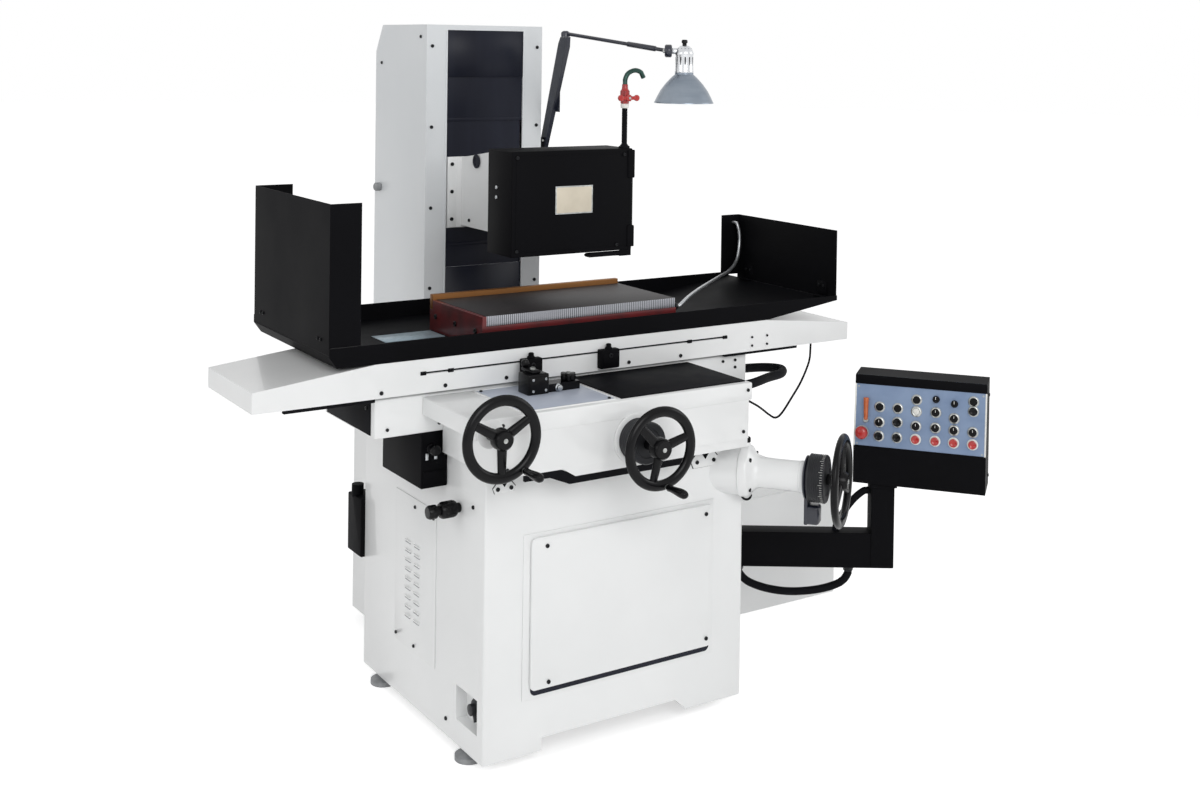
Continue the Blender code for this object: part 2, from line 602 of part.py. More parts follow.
def grip(name, centre, along, rim, thickness, angle):
    """The revolving grip on a front handwheel's rim."""
    a = math.radians(angle)
    at = Vector(centre) + Vector((math.cos(a) * rim, 0, math.sin(a) * rim))
    start = Vector(along) * (thickness + GAP)
    profile = [(0, 0), (0.006, 0), (0.006, 0.008), (0.009, 0.010), (GRIP_R, 0.035), (GRIP_R, GRIP_L - 0.012),
               (0.006, GRIP_L), (0, GRIP_L)]
    put(name, turned_mesh(profile, start, along, 12), "rubber", at)


def make_handwheels():
    """Left wheel for the table, right wheel with its graduated drum for the saddle."""
    forward = (0, -1, 0)
    back = APRON_Y - GAP - TRAVERSE_AT[1]
    handwheel("traverse_wheel", TRAVERSE_AT, forward, RIM_R, RIM_TUBE, back, spokes=(30, 150, 270))
    grip("traverse_grip", TRAVERSE_AT, forward, RIM_R, RIM_TUBE, -55)
    back = APRON_Y - GAP - CROSS_AT[1]
    handwheel("cross_wheel", CROSS_AT, forward, RIM_R, RIM_TUBE, back, spokes=(15, 135, 255),
              drum=(DRUM_R, DRUM_L))
    grip("cross_grip", CROSS_AT, forward, RIM_R, RIM_TUBE, -82)


# ---- table, pan, guards and chuck ------------------------------------------------------
def make_table():
    """Table with sloped wings, slideways, the front T-slot and its two trip dogs."""
    half = TABLE_L / 2
    outline = [(-half, TABLE_BOTTOM), (half, TABLE_BOTTOM), (half, TABLE_END), (TABLE_FLAT, TABLE_TOP),
               (-TABLE_FLAT, TABLE_TOP), (-half, TABLE_END)]
    table = put("table", prism_mesh(outline, "XZ", *TABLE_Y), "enamel")
    for y in (TABLE_Y[0] + 0.05, TABLE_Y[1] - 0.09):
        join(table, box_mesh((-half + 0.03, y, SADDLE_Z[1] + GAP),
                             (half - 0.03, y + 0.04, TABLE_BOTTOM + 0.005)))
    cut(table, box_mesh((-0.475, TABLE_Y[0] - 0.01, 0.9505), (0.452, TABLE_Y[0] + 0.008, 0.9555)))
    for name, x0, x1 in (("dog_left", -0.206, -0.149), ("dog_right", 0.029, 0.087)):
        dog = box(name, (x0, TABLE_Y[0] - 0.022, 0.912), (x1, TABLE_Y[0] - GAP, 0.962), "rubber", 0.003)
        join(dog, box_mesh((x0 + 0.01, TABLE_Y[0] - 0.01, 0.951), (x1 - 0.01, TABLE_Y[0] + 0.006, 0.955)))


def pan_floor(x):
    """Height of the pan's underside at x: level, then rising to both ends."""
    if x < PAN_X[0]:
        return TABLE_TOP + GAP + (PAN_END_Z[0] - TABLE_TOP) * (PAN_X[0] - x) / (PAN_X[0] - PAN_END[0])
    if x > PAN_X[1]:
        return TABLE_TOP + GAP + (PAN_END_Z[1] - TABLE_TOP) * (x - PAN_X[1]) / (PAN_END[1] - PAN_X[1])
    return TABLE_TOP + GAP


def make_pan():
    """Splash pan with front lip and back wall, and the two upright guards on its ends."""
    corners = [PAN_END[0], PAN_X[0], PAN_X[1], PAN_END[1]]
    under = [(x, pan_floor(x)) for x in corners]
    over = [(x, z + PAN_T) for x, z in reversed(under)]
    pan = put("splash_pan", prism_mesh(under + over, "XZ", PAN_Y[0] + 0.001, PAN_Y[1] - 0.001), "black_sheet")
    wall = under + [(PAN_END[1], LIP_TOP), (PAN_END[0], LIP_TOP)]
    join(pan, prism_mesh(wall, "XZ", PAN_Y[0], PAN_Y[0] + PAN_T))
    join(pan, prism_mesh(wall, "XZ", PAN_Y[1] - PAN_T, PAN_Y[1]))
    cut(pan, box_mesh((-CHUCK_L / 2 - 0.002, CHUCK_Y - 0.002, 0.95),
                      (CHUCK_L / 2 + 0.002, CHUCK_Y + CHUCK_W + 0.002, 1.02)))
    front = PAN_Y[0] + PAN_T + GAP
    back = PAN_Y[1] - PAN_T - GAP
    x, z = PAN_END[0], pan_floor(PAN_END[0]) + PAN_T + GAP
    left = put("guard_left", box_mesh((x, front, z), (x + PAN_T, back, GUARD_L_TOP)), "black_sheet")
    join(left, box_mesh((x + 0.001, front, LIP_TOP + 0.001), (x + GUARD_L_WRAP[0], front + PAN_T,
                                                              GUARD_L_TOP)))
    join(left, box_mesh((x + 0.001, back - PAN_T, LIP_TOP + 0.001), (x + GUARD_L_WRAP[1], back, GUARD_L_TOP)))
    x, z = PAN_END[1], pan_floor(PAN_END[1]) + PAN_T + GAP
    right = put("guard_right", box_mesh((x - PAN_T, front, z), (x, GUARD_R_BACK, GUARD_R_TOP)), "black_sheet")
    join(right, box_mesh((x - GUARD_R_WRAP, GUARD_R_BACK - PAN_T, LIP_TOP + 0.001),
                         (x - 0.001, GUARD_R_BACK, GUARD_R_TOP)))


def make_chuck():
    """Magnetic chuck: red body, laminated pole plate, rear rail and the conduit to its coil."""
    half = CHUCK_L / 2
    low = TABLE_TOP + GAP
    body = box("chuck_body", (-half, CHUCK_Y, low), (half, CHUCK_Y + CHUCK_W, CHUCK_TOP - POLE_T),
               "chuck_red")
    back = CHUCK_Y + CHUCK_W
    front = back - RAIL_W - GAP
    join(body, box_mesh((-half, CHUCK_Y, low + 0.01), (-half + CHUCK_CAP, front, CHUCK_TOP - 0.001)))
    seat = CHUCK_TOP - POLE_T + GAP
    box("pole_plate", (-half + CHUCK_CAP + GAP, CHUCK_Y + 0.002, seat), (half - 0.002, front, CHUCK_TOP),
        "steel")
    box("stop_rail", (-half, back - RAIL_W, seat), (half - 0.004, back, CHUCK_TOP + RAIL_H), "brass", 0.002)
    wrap = GUARD_R_BACK - PAN_T - GAP
    tube("chuck_cable", [(half + GAP, 0.205, 1.046), (0.318, 0.205, 1.046), (0.375, 0.240, 1.060),
                         (0.469, 0.310, 1.067), (0.627, 0.430, 1.071), (0.746, 0.530, 1.070),
                         (0.818, 0.588, 1.088), (0.843, 0.608, 1.128), (0.846, 0.612, 1.170),
                         (0.839, 0.618, 1.203), (0.839, wrap, 1.203)],
         0.005, "conduit_grey", 0.02)


def make_table_cable():
    """Thin lead that hangs from the table's right wing to the apron."""
    top = TABLE_BOTTOM - GAP
    tube("table_cable", [(0.793, 0.200, top), (0.792, 0.200, 0.881), (0.783, 0.195, 0.845),
                         (0.742, 0.180, 0.796), (0.685, 0.155, 0.759), (0.628, 0.130, 0.727),
                         (0.593, 0.115, 0.722), (0.558, 0.100, 0.738), (0.477, 0.060, 0.784),
                         (0.390, 0.050, 0.825), (APRON_X[1] + GAP, 0.050, 0.825)], 0.003, "rubber", 0.02)


# ---- vertical feed, pendant and lamp ---------------------------------------------------
def make_feed():
    """Vertical feed unit on the base's right corner: housing, dialled handwheel and lever."""
    flange_r, flange_t = FEED_FLANGE
    profile = [(0, 0), (flange_r, 0), (flange_r, flange_t - 0.006), (flange_r - 0.01, flange_t),
               (FEED_TUBE_R + 0.004, flange_t + 0.01),
               (FEED_TUBE_R, flange_t + 0.02), (FEED_TUBE_R, FEED_TUBE_END), (0, FEED_TUBE_END)]
    put("feed_housing", turned_mesh(profile, (0, 0, 0), FEED_DIR, 32), "enamel", FEED_AT)
    at = Vector(FEED_AT) + FEED_DIR * FEED_WHEEL_AT
    dial_r, dial_l = FEED_DIAL
    lever_w = LEVER_W
    back = FEED_WHEEL_AT - FEED_TUBE_END - lever_w - 2 * GAP
    handwheel("feed_wheel", at, FEED_DIR, FEED_RIM_R, FEED_RIM_TUBE, back, spokes=(90, 210, 330),
              drum=(dial_r, dial_l - 0.01))
    lever_at = Vector(FEED_AT) + FEED_DIR * (FEED_TUBE_END + GAP)
    lever = put("feed_lever", rod_mesh((0, 0, 0), FEED_DIR * lever_w, FEED_TUBE_R + 0.004, segments=24),
                "rubber", lever_at)
    turn = Matrix.Rotation(math.radians(FEED_TURN), 4, "Z")
    bar = box_mesh((0.001, -LEVER_BAR / 2, -LEVER_DROP), (lever_w - 0.001, LEVER_BAR / 2, -0.02), 0.002)
    pad = box_mesh((0.002, -LEVER_BAR / 2 + 0.001, 0.001 - LEVER_DROP),
                   (LEVER_PAD, LEVER_BAR / 2 - 0.001, -dial_r - 0.006), 0.004)
    for shape in (bar, pad):
        shape.transform(turn)
        join(lever, shape)


def make_pendant():
    """Swinging beam with its post, and the console that swivels on the post."""
    frame = empty("pendant_arm_frame", (*PIVOT, 0), ARM_TURN, bpy.data.objects["machine"])
    arm = put("pendant_arm", rod_mesh((0, 0, ARM_Z[0] + GAP), (0, 0, ARM_Z[1] - GAP), 0.045), "black_sheet",
              parent=frame)
    half = POST_W / 2
    join(arm, box_mesh((0.03, -ARM_W / 2, ARM_Z[0] + 0.001), (ARM_L + half - 0.001, ARM_W / 2,
                                                              ARM_Z[1] - 0.001)))
    join(arm, box_mesh((ARM_L - half, -half, ARM_Z[0] + 0.002), (ARM_L + half, half, CONSOLE_Z[0] - GAP)))
    cut(arm, rod_mesh((0, 0, 0.2), (0, 0, 0.5), PIN_R + RUN))
    conduit = [(0.10, 0, ARM_Z[0] + 0.01), (0.12, 0, 0.275), (0.18, 0, 0.235), (0.25, 0, 0.222),
               (0.33, 0, 0.235),
               (0.39, 0, 0.275), (0.41, 0, ARM_Z[0] + 0.01)]
    join(arm, as_mesh(tube("conduit", conduit, 0.011, "rubber", 0.03)))


def console_face_point(u, down):
    """A point on the sloping face: u from the post's axis, down as a share of the face."""
    y = CONSOLE_FRONT[1] + (CONSOLE_FRONT[0] - CONSOLE_FRONT[1]) * down
    z = CONSOLE_Z[1] + (CONSOLE_FACE_Z - CONSOLE_Z[1]) * down
    return Vector((u, y, z))


def make_console():
    """Console box with bores for its buttons, and every control on its sloping face."""
    frame = empty("console_frame", POST_AT, CONSOLE_TURN, bpy.data.objects["machine"])
    outline = [(CONSOLE_FRONT[0], CONSOLE_Z[0]), (CONSOLE_BACK, CONSOLE_Z[0]), (CONSOLE_BACK, CONSOLE_Z[1]),
               (CONSOLE_FRONT[1], CONSOLE_Z[1]), (CONSOLE_FRONT[0], CONSOLE_FACE_Z)]
    console = put("console", prism_mesh(outline, "YZ", *CONSOLE_X), "black_sheet", parent=frame)
    slope = console_face_point(0, 1) - console_face_point(0, 0)
    wall = CONSOLE_WALL
    inside = [(CONSOLE_FRONT[0] + wall, CONSOLE_Z[0] + wall), (CONSOLE_BACK - wall, CONSOLE_Z[0] + wall),
              (CONSOLE_BACK - wall, CONSOLE_Z[1] - wall), (CONSOLE_FRONT[1] + wall, CONSOLE_Z[1] - wall),
              (CONSOLE_FRONT[0] + wall, CONSOLE_FACE_Z)]
    cut(console, prism_mesh(inside, "YZ", CONSOLE_X[0] + wall, CONSOLE_X[1] - wall),
        rod_mesh((0.15, 0.04, CONSOLE_Z[0] - 0.01), (0.15, 0.04, CONSOLE_Z[0] + 0.01), 0.015))
    out = Vector((1, 0, 0)).cross(slope).normalized()
    if out.y > 0:
        out = -out
    buttons = {"button_red_1": (0.098, 0.83), "button_red_2": (0.151, 0.83), "button_red_3": (0.201, 0.83),
               "button_red_4": (0.252, 0.83), "button_black_1": (-0.003, 0.83), "button_black_2": (0.047,
                                                                                                   0.83),
               "button_black_3": (0.047, 0.62), "button_black_4": (0.252, 0.38)}
    for name, (u, down) in buttons.items():
        spot = console_face_point(u, down)
        finish = "signal_red" if "red" in name else "rubber"
        put(name, rod_mesh(-out * 0.006, out * BUTTON_OUT, BUTTON_R, segments=16), finish, spot, frame)
        cut(console, rod_mesh(spot - out * 0.014, spot + out * 0.01, BUTTON_R + RUN, segments=16))
    stop = console_face_point(-0.050, 0.80)
    profile = [(0, -0.012), (0.007, -0.012), (0.007, 0.010), (0.017, 0.012), (0.018, 0.018), (0.013, 0.024),
               (0, 0.026)]
    put("stop_button", turned_mesh(profile, (0, 0, 0), out, 20), "signal_red", stop, frame)
    cut(console, rod_mesh(stop - out * 0.022, stop + out * 0.01, 0.007 + RUN, segments=20))
    for name, u, down in (("selector_1", 0.151, 0.26), ("selector_2", 0.201, 0.30)):
        spot = console_face_point(u, down) + out * GAP
        knob = put(name, rod_mesh((0, 0, 0), out * 0.010, 0.010, segments=20), "rubber", spot, frame)
        bar = box_mesh((-0.003, 0.004, -0.009), (0.003, 0.020, 0.009), 0.001)
        bar.transform(Matrix.Rotation(math.pi, 4, "Z"))
        bar.transform(out.to_track_quat("-Y", "Z").to_matrix().to_4x4())
        join(knob, bar)
    spot = console_face_point(-0.040, 0.62) + out * GAP
    lever = put("amber_lever", rod_mesh((0, 0, 0), out * 0.008, 0.008, segments=16), "amber", spot, frame)
    tip = out * 0.012 - slope.normalized() * 0.060
    join(lever, rod_mesh(out * 0.006, tip, 0.006, 0.0075, 10))


def make_lamp():
    """Work lamp: bracket on the column cover, channel arm, rod arm and vented shade."""
    x, y, z = LAMP_AT
    face = COVER_W / 2 + GAP
    box("lamp_bracket", (face, y - 0.014, z - 0.02), (x - 0.007, y + 0.014, z + 0.02), "black_sheet", 0.002)
    ey, ez = ELBOW_AT[1] - y, ELBOW_AT[2] - z
    outline = [(-0.010, -0.012), (0.010, -0.012), (0.012, 0.010), (ey + 0.030, ez - 0.02),
               (ey + 0.018, ez - GAP),
               (ey - 0.018, ez - GAP), (ey - 0.016, ez - 0.03)]
    put("lamp_lower_arm", prism_mesh(outline, "YZ", -0.007 + GAP, 0.007), "black_sheet", LAMP_AT)
    elbow = Vector(ELBOW_AT)
    swivel = Vector(SWIVEL_AT) - elbow
    arm = put("lamp_upper_arm", rod_mesh((0, 0, 0), (0, 0, 0.018), 0.013, segments=16), "black_sheet",
              ELBOW_AT)
    join(arm, rod_mesh((0, 0, 0.010), swivel, 0.0055, segments=10))
    across = Vector((SHADE_AT[0] - SWIVEL_AT[0], SHADE_AT[1] - SWIVEL_AT[1], 0)).normalized()
    join(arm, rod_mesh(swivel - across * 0.010, swivel + across * 0.010, 0.018, segments=16))
    rim, neck = SHADE_R
    z0, z1, z2 = (h - SWIVEL_AT[2] for h in SHADE_Z)
    middle = Vector((SHADE_AT[0] - SWIVEL_AT[0], SHADE_AT[1] - SWIVEL_AT[1], 0))
    wall = 0.0015
    profile = [(rim, z0), (rim * 0.86, z0 + 0.030), (neck + 0.016, z1 - 0.012), (neck, z1),
               (neck, z2 - 0.006),
               (neck - 0.006, z2), (0.008, z2), (0.008, z2 + 0.016), (0, z2 + 0.016)]
    inner = [(0, z1 + 0.004), (neck - 0.004, z1 + 0.004), (neck + 0.012, z1 - 0.014),
             (rim * 0.86 - wall, z0 + 0.029),
             (rim - wall, z0), (rim, z0)]
    shell = turned_mesh(inner[:-1] + profile, middle, (0, 0, 1), 28)
    shade = put("lamp_shade", shell, "conduit_grey", SWIVEL_AT)
    join(shade, rod_mesh(across * (0.010 + GAP), across * (middle.length - neck + 0.006), 0.009, segments=12))


def main():
    """Builds the whole machine under one empty at the middle of its footprint."""
    for old in list(bpy.data.objects):
        bpy.data.objects.remove(old)
    empty("machine", -ORIGIN)
    make_base()
    make_panels()
    make_column()
    make_tank()
    make_head()
    make_wheel_guard()
    make_wheel()
    make_coolant()
    make_saddle()
    make_apron()
    make_handwheels()
    make_table()
    make_pan()
    make_chuck()
    make_table_cable()
    make_feed()
    make_pendant()
    make_console()
    make_lamp()
    for piece in collection("surface_grinder").objects:
        if piece.type == "MESH":
            piece.data.shade_smooth()
            piece.data.set_sharp_from_angle(angle=math.radians(35))


main()
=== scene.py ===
"""Looks of a surface grinder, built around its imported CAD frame.

Sizes are in metres in the machine's own frame: the middle of the table in X, the front face
of the base in Y and the floor in Z. A finished piece is moved from there into the frame.
"""
import math

import bmesh
import bpy
from bpy.props import FloatProperty, FloatVectorProperty, PointerProperty
from mathutils import Matrix, Vector


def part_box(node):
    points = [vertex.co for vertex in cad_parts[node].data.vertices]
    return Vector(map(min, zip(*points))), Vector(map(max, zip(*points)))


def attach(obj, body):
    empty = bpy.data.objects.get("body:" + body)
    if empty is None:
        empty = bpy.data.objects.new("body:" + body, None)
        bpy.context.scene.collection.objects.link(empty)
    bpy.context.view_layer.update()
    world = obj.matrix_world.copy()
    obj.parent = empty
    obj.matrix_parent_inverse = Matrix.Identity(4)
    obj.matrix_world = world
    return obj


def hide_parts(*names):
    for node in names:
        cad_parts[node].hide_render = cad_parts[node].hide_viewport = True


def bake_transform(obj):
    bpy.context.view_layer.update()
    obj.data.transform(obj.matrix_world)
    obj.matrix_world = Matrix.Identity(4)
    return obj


bl_info = {
    "name": "Surface grinder",
    "version": (1, 0, 0),
    "blender": (4, 5, 0),
    "location": "View3D > Sidebar > Grinder",
    "description": "Builds the detailed pieces and finishes of a surface grinder",
    "category": "Object",
}

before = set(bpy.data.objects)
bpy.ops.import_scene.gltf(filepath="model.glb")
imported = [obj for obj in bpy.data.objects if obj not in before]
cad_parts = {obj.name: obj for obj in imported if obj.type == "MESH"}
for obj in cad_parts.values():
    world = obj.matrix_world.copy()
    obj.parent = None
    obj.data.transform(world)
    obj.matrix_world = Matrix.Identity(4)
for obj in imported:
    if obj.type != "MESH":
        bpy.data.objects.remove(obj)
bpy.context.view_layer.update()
GAP = 0.0003
TABLE_LO, TABLE_HI = (Vector(corner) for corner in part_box("table"))
AT = Vector(((TABLE_LO.x + TABLE_HI.x) / 2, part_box("front_cover_plate")[1][1] + GAP, 0))
UP = Vector((0, 0, 1))
FORWARD = Vector((0, -1, 0))


def spot(node):
    """A CAD node's low and high corners in the machine's frame."""
    low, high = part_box(node)
    return Vector(low) - AT, Vector(high) - AT


# ---- finishes --------------------------------------------------------------------------
def linear(code):
    """A hex colour as the linear values that shaders take; a colour already linear stays."""
    if not isinstance(code, str):
        return tuple(code)
    parts = [int(code[i:i + 2], 16) / 255 for i in (1, 3, 5)]
    return tuple(c / 12.92 if c < 0.04045 else ((c + 0.055) / 1.055) ** 2.4 for c in parts) + (1,)


def add(tree, kind, values=(), links=(), **settings):
    """A node with its settings, its input values and the sockets that feed it."""
    made = tree.nodes.new(kind)
    for name, value in settings.items():
        setattr(made, name, value)
    for name, value in dict(values).items():
        made.inputs[name].default_value = value
    for name, source in dict(links).items():
        tree.links.new(source, made.inputs[name])
    return made


def blend(tree, amount, first, second):
    """The two colours mixed by an amount."""
    return add(tree, "ShaderNodeMix", {6: first, 7: second}, {0: amount}, data_type="RGBA").outputs[2]


def begun(name):
    """A new material: itself, its node tree, its shader and the object's own coordinates."""
    made = bpy.data.materials.new(name)
    made.use_nodes = True
    tree = made.node_tree
    return made, tree, tree.nodes["Principled BSDF"], add(tree, "ShaderNodeTexCoord").outputs["Object"]


def finish(name, colour, other, rough, metal=0.0, grain=2.0, bump=0.05, patch=120.0, coat=0.0,
           stretch=(1, 1, 1), contrast=1.0, **shader):
    """A finish with a surface grain (size in mm) and soft patches of a second colour."""
    found = bpy.data.materials.get(name)
    if found:
        return found
    made, tree, face, where = begun(name)
    along = add(tree, "ShaderNodeMapping", {"Scale": stretch}, {"Vector": where}).outputs[0]
    fine = add(tree, "ShaderNodeTexNoise", {"Scale": 1000 / grain, "Detail": 3}, {"Vector": along})
    broad = add(tree, "ShaderNodeTexNoise", {"Scale": 1000 / patch, "Detail": 4}, {"Vector": along})
    spread = add(tree, "ShaderNodeMapRange", {"From Min": 0.35, "From Max": 0.75, "To Max": contrast},
                 {"Value": broad.outputs["Fac"]}).outputs[0]
    tree.links.new(blend(tree, spread, linear(colour), linear(other)), face.inputs["Base Color"])
    uneven = add(tree, "ShaderNodeMapRange", {"To Min": rough * 0.85, "To Max": min(1, rough * 1.2)},
                 {"Value": broad.outputs["Fac"]}).outputs[0]
    tree.links.new(uneven, face.inputs["Roughness"])
    relief = add(tree, "ShaderNodeBump", {"Strength": min(1, bump * 4), "Distance": grain / 1000 * bump},
                 {"Height": fine.outputs["Fac"]})
    tree.links.new(relief.outputs[0], face.inputs["Normal"])
    face.inputs["Metallic"].default_value = metal
    face.inputs["Coat Weight"].default_value = coat
    for socket, value in shader.items():
        face.inputs[socket.replace("_", " ")].default_value = value
    return made


def striped(name, colours, pitch, axis, rough, metal=1.0, share=0.5):
    """Two metals laid in strips across one axis; pitch in mm."""
    found = bpy.data.materials.get(name)
    if found:
        return found
    made, tree, face, where = begun(name)
    one = add(tree, "ShaderNodeSeparateXYZ", links={0: where}).outputs[axis]
    turns = add(tree, "ShaderNodeMath", {1: 1000 / pitch}, {0: one}, operation="MULTIPLY").outputs[0]
    part = add(tree, "ShaderNodeMath", links={0: turns}, operation="FRACT").outputs[0]
    strip = add(tree, "ShaderNodeMath", {1: share}, {0: part}, operation="GREATER_THAN").outputs[0]
    fine = add(tree, "ShaderNodeTexNoise", {"Scale": 900, "Detail": 3}, {"Vector": where}).outputs["Fac"]
    tree.links.new(blend(tree, strip, linear(colours[0]), linear(colours[1])), face.inputs["Base Color"])
    uneven = add(tree, "ShaderNodeMapRange", {"To Min": rough * 0.8, "To Max": rough * 1.3},
                 {"Value": fine}).outputs[0]
    tree.links.new(uneven, face.inputs["Roughness"])
    relief = add(tree, "ShaderNodeBump", {"Strength": 0.2, "Distance": 0.0002}, {"Height": strip})
    tree.links.new(relief.outputs[0], face.inputs["Normal"])
    face.inputs["Metallic"].default_value = metal
    return made


def enamel():
    """Sprayed two-part machine enamel: glossy, near white, with a faint orange peel."""
    return finish("sprayed_white_enamel", looks().paint, "#E2E4E4", 0.30, grain=3.0, bump=0.012, patch=300,
                  coat=0.3, contrast=0.4)


def column_enamel_painted_shade():
    """The same enamel on folded sheet, made a little greyer as painted shade."""
    return finish("sheet_white_enamel_painted_shade", "#E4E7E9", "#DADEE1", 0.34, grain=3.0, bump=0.010, patch=400,
                  coat=0.25, contrast=0.6)


def black_paint():
    """Black baked paint on sheet steel: fine wrinkle, low gloss."""
    return finish("baked_black_wrinkle_paint", looks().sheet, "#0E0E11", 0.55, grain=1.2, bump=0.08,
                  patch=180, Specular_IOR_Level=0.04)


def navy_sheet():
    """Blued spring-steel cover plates with a drawn grain down their length."""
    return finish("blued_sheet_steel", "#161823", "#20232F", 0.38, grain=1.5, bump=0.04, patch=90,
                  stretch=(1, 1, 0.08), Specular_IOR_Level=0.16)


def phenolic():
    """Moulded black phenolic: deep gloss with slight flow marks."""
    return finish("moulded_black_phenolic", "#060608", "#0C0C0E", 0.24, grain=4.0, bump=0.012, patch=40,
                  Specular_IOR_Level=0.16)


def black_rubber():
    """Black neoprene: matt, bloomed to dark grey in places."""
    return finish("black_neoprene", "#0A0A0D", "#131418", 0.62, grain=0.8, bump=0.08, patch=60,
                  Specular_IOR_Level=0.07)


def dark_iron():
    """Oil-blackened cast iron with a sand-cast skin."""
    return finish("blackened_cast_iron", "#1B1C1F", "#2A2B2F", 0.48, metal=0.4, grain=1.6, bump=0.12,
                  patch=50)


def foot_iron():
    """Grey cast-iron levelling feet, dusty on top."""
    return finish("grey_cast_iron", "#86888A", "#A0A2A4", 0.55, metal=0.1, grain=1.5, bump=0.15, patch=25)


def bright_steel():
    """Ground tool steel with fine lines across its width."""
    return finish("ground_tool_steel", "#A9ADB0", "#C4C7C9", 0.26, metal=1.0, grain=0.8, bump=0.03, patch=40,
                  stretch=(1, 0.05, 1))


def screw_steel():
    """Blackened socket screws."""
    return finish("blackened_screw_steel", "#17181A", "#26272A", 0.35, metal=0.7, grain=0.5, bump=0.05,
                  patch=6)


def zinc():
    """Zinc-plated fittings, mottled."""
    return finish("zinc_plate", "#B4B6B4", "#8F9290", 0.34, metal=0.9, grain=0.7, bump=0.04, patch=9)


def red_casting():
    """Oxide-red paint on the chuck's body, worn darker."""
    return finish("oxide_red_paint", "#6A1014", "#38080C", 0.42, grain=2.0, bump=0.05, patch=70, coat=0.2)


def rail_brass():
    """Machined bronze rail, warm orange with darker traffic marks."""
    return finish("machined_bronze", "#9A6A38", "#74481F", 0.42, metal=0.6, grain=1.0, bump=0.03, patch=60,
                  stretch=(0.1, 1, 1))


def panel_blue():
    """Blue-grey anodised control face."""
    return finish("anodised_blue_grey_aluminium", "#8093B0", "#6F83A2", 0.36, metal=0.25, grain=0.7,
                  bump=0.03, patch=60, stretch=(0.2, 1, 1))


def red_plastic():
    """Injection-moulded red ABS."""
    return finish("moulded_red_abs", "#B81D18", "#9C1512", 0.28, grain=2.0, bump=0.01, patch=15, coat=0.3)


def amber_plastic():
    """Amber polycarbonate, glossy and opaque."""
    return finish("moulded_amber_polycarbonate", "#C8642A", "#B2501E", 0.25, grain=2.0, bump=0.01, patch=12,
                  coat=0.4)


def white_plastic():
    """White nylon: ferrules, pointers and rings."""
    return finish("turned_white_nylon", "#EDEDE8", "#DCDCD6", 0.35, grain=1.0, bump=0.02, patch=10)


def shade_alloy():
    """Spun aluminium, lacquered blue-grey, with rings left by the spinning tool."""
    return finish("lacquered_spun_aluminium", "#7E8894", "#98A1AB", 0.30, metal=0.65, grain=1.2, bump=0.05,
                  patch=30, stretch=(0.15, 0.15, 1))


def socket_alloy():
    """Bright brushed aluminium of the lamp's socket."""
    return finish("brushed_aluminium", "#C9CBCE", "#DFE1E3", 0.25, metal=0.9, grain=0.8, bump=0.03, patch=20,
                  stretch=(1, 1, 0.1))


def inner_white():
    """White reflector paint inside the shade."""
    return finish("white_reflector_paint", "#F0F0EA", "#E4E4DC", 0.4, grain=2, bump=0.01, patch=30)


def bulb_glass():
    """Opal glass bulb."""
    return finish("opal_glass", "#F6F4EC", "#ECEADF", 0.15, grain=5, bump=0.005, patch=20, coat=0.6)


def hook_green():
    """Green anodised outlet pipe."""
    return finish("green_anodised_pipe", "#1E3A34", "#2C4C44", 0.3, metal=0.6, grain=1, bump=0.02, patch=12)


def conduit_steel():
    """Braided steel conduit."""
    return striped("braided_steel_conduit", ("#8E9194", "#D6D8DA"), 2.4, 0, 0.3, 0.8)


def pole_top():
    """Laminated pole face: oil-darkened steel poles between thin separators."""
    return striped("laminated_pole_steel", ("#0C0A0D", "#1C1618"), 7.0, 0, 0.55, 0.1, 0.3)


def pole_edge():
    """Bright edge of the laminations."""
    return striped("bright_lamination_edge", ("#3A3B40", "#A4A6AC"), 6.0, 0, 0.34, 0.6, 0.35)


def abrasive():
    """Vitrified aluminium oxide: pale, gritty and dry."""
    return finish("vitrified_aluminium_oxide", "#C9C6C0", "#B4B1AC", 0.95, grain=0.7, bump=0.5, patch=6)


def pan_plate():
    """Galvanised plate on the pan's floor."""
    return finish("galvanised_sheet", "#A9BCC6", "#8FA3AE", 0.35, metal=0.35, grain=1.5, bump=0.04, patch=14)


def lamp_blue():
    """Stoved blue-black paint on the lamp's arms."""
    return finish("stoved_blue_black_paint", "#1A1D28", "#262A38", 0.34, grain=1.5, bump=0.02, patch=60,
                  coat=0.2)


def tray_painted_shade():
    """Pocket in the apron's top: white enamel given a pale blue-grey painted shade."""
    return finish("apron_top_painted_shade_blue", "#C3CAD8", "#B2BACB", 0.35, grain=3, bump=0.02, patch=90)


def blank_plate():
    """Etched aluminium plate left blank, a little yellowed."""
    return finish("etched_aluminium_plate", "#CFC6B4", "#BDB4A2", 0.45, metal=0.2, grain=0.6, bump=0.05,
                  patch=40, contrast=0.5)


def red_body():
    """Red enamelled brass of the cock's body, chipped darker at places."""
    return finish("red_enamelled_brass", "#B01A1A", "#6E0E10", 0.35, grain=0.8, bump=0.06, patch=8, coat=0.3)


def white_oxide():
    """Ink fill of engraved marks."""
    return finish("white_engraving_fill", "#DADAD6", "#C8C8C4", 0.6, grain=1, bump=0.02, patch=8)


# ---- shapes ----------------------------------------------------------------------------
def place(piece, shape, slot=0, at=(0, 0, 0), along=None, turn=None):
    """Adds a shape to a piece, its own Z turned along a direction, in one of its finishes."""
    matrix = Matrix.Translation(at)
    if along is not None:
        matrix = matrix @ Vector(along).to_track_quat("Z", "Y").to_matrix().to_4x4()
    if turn is not None:
        matrix = matrix @ turn
    bmesh.ops.transform(shape, matrix=matrix, verts=shape.verts)
    for face in shape.faces:
        face.material_index = slot
    bmesh.ops.recalc_face_normals(shape, faces=shape.faces)
    holder = bpy.data.meshes.new("shape")
    shape.to_mesh(holder)
    shape.free()
    piece.from_mesh(holder)
    bpy.data.meshes.remove(holder)


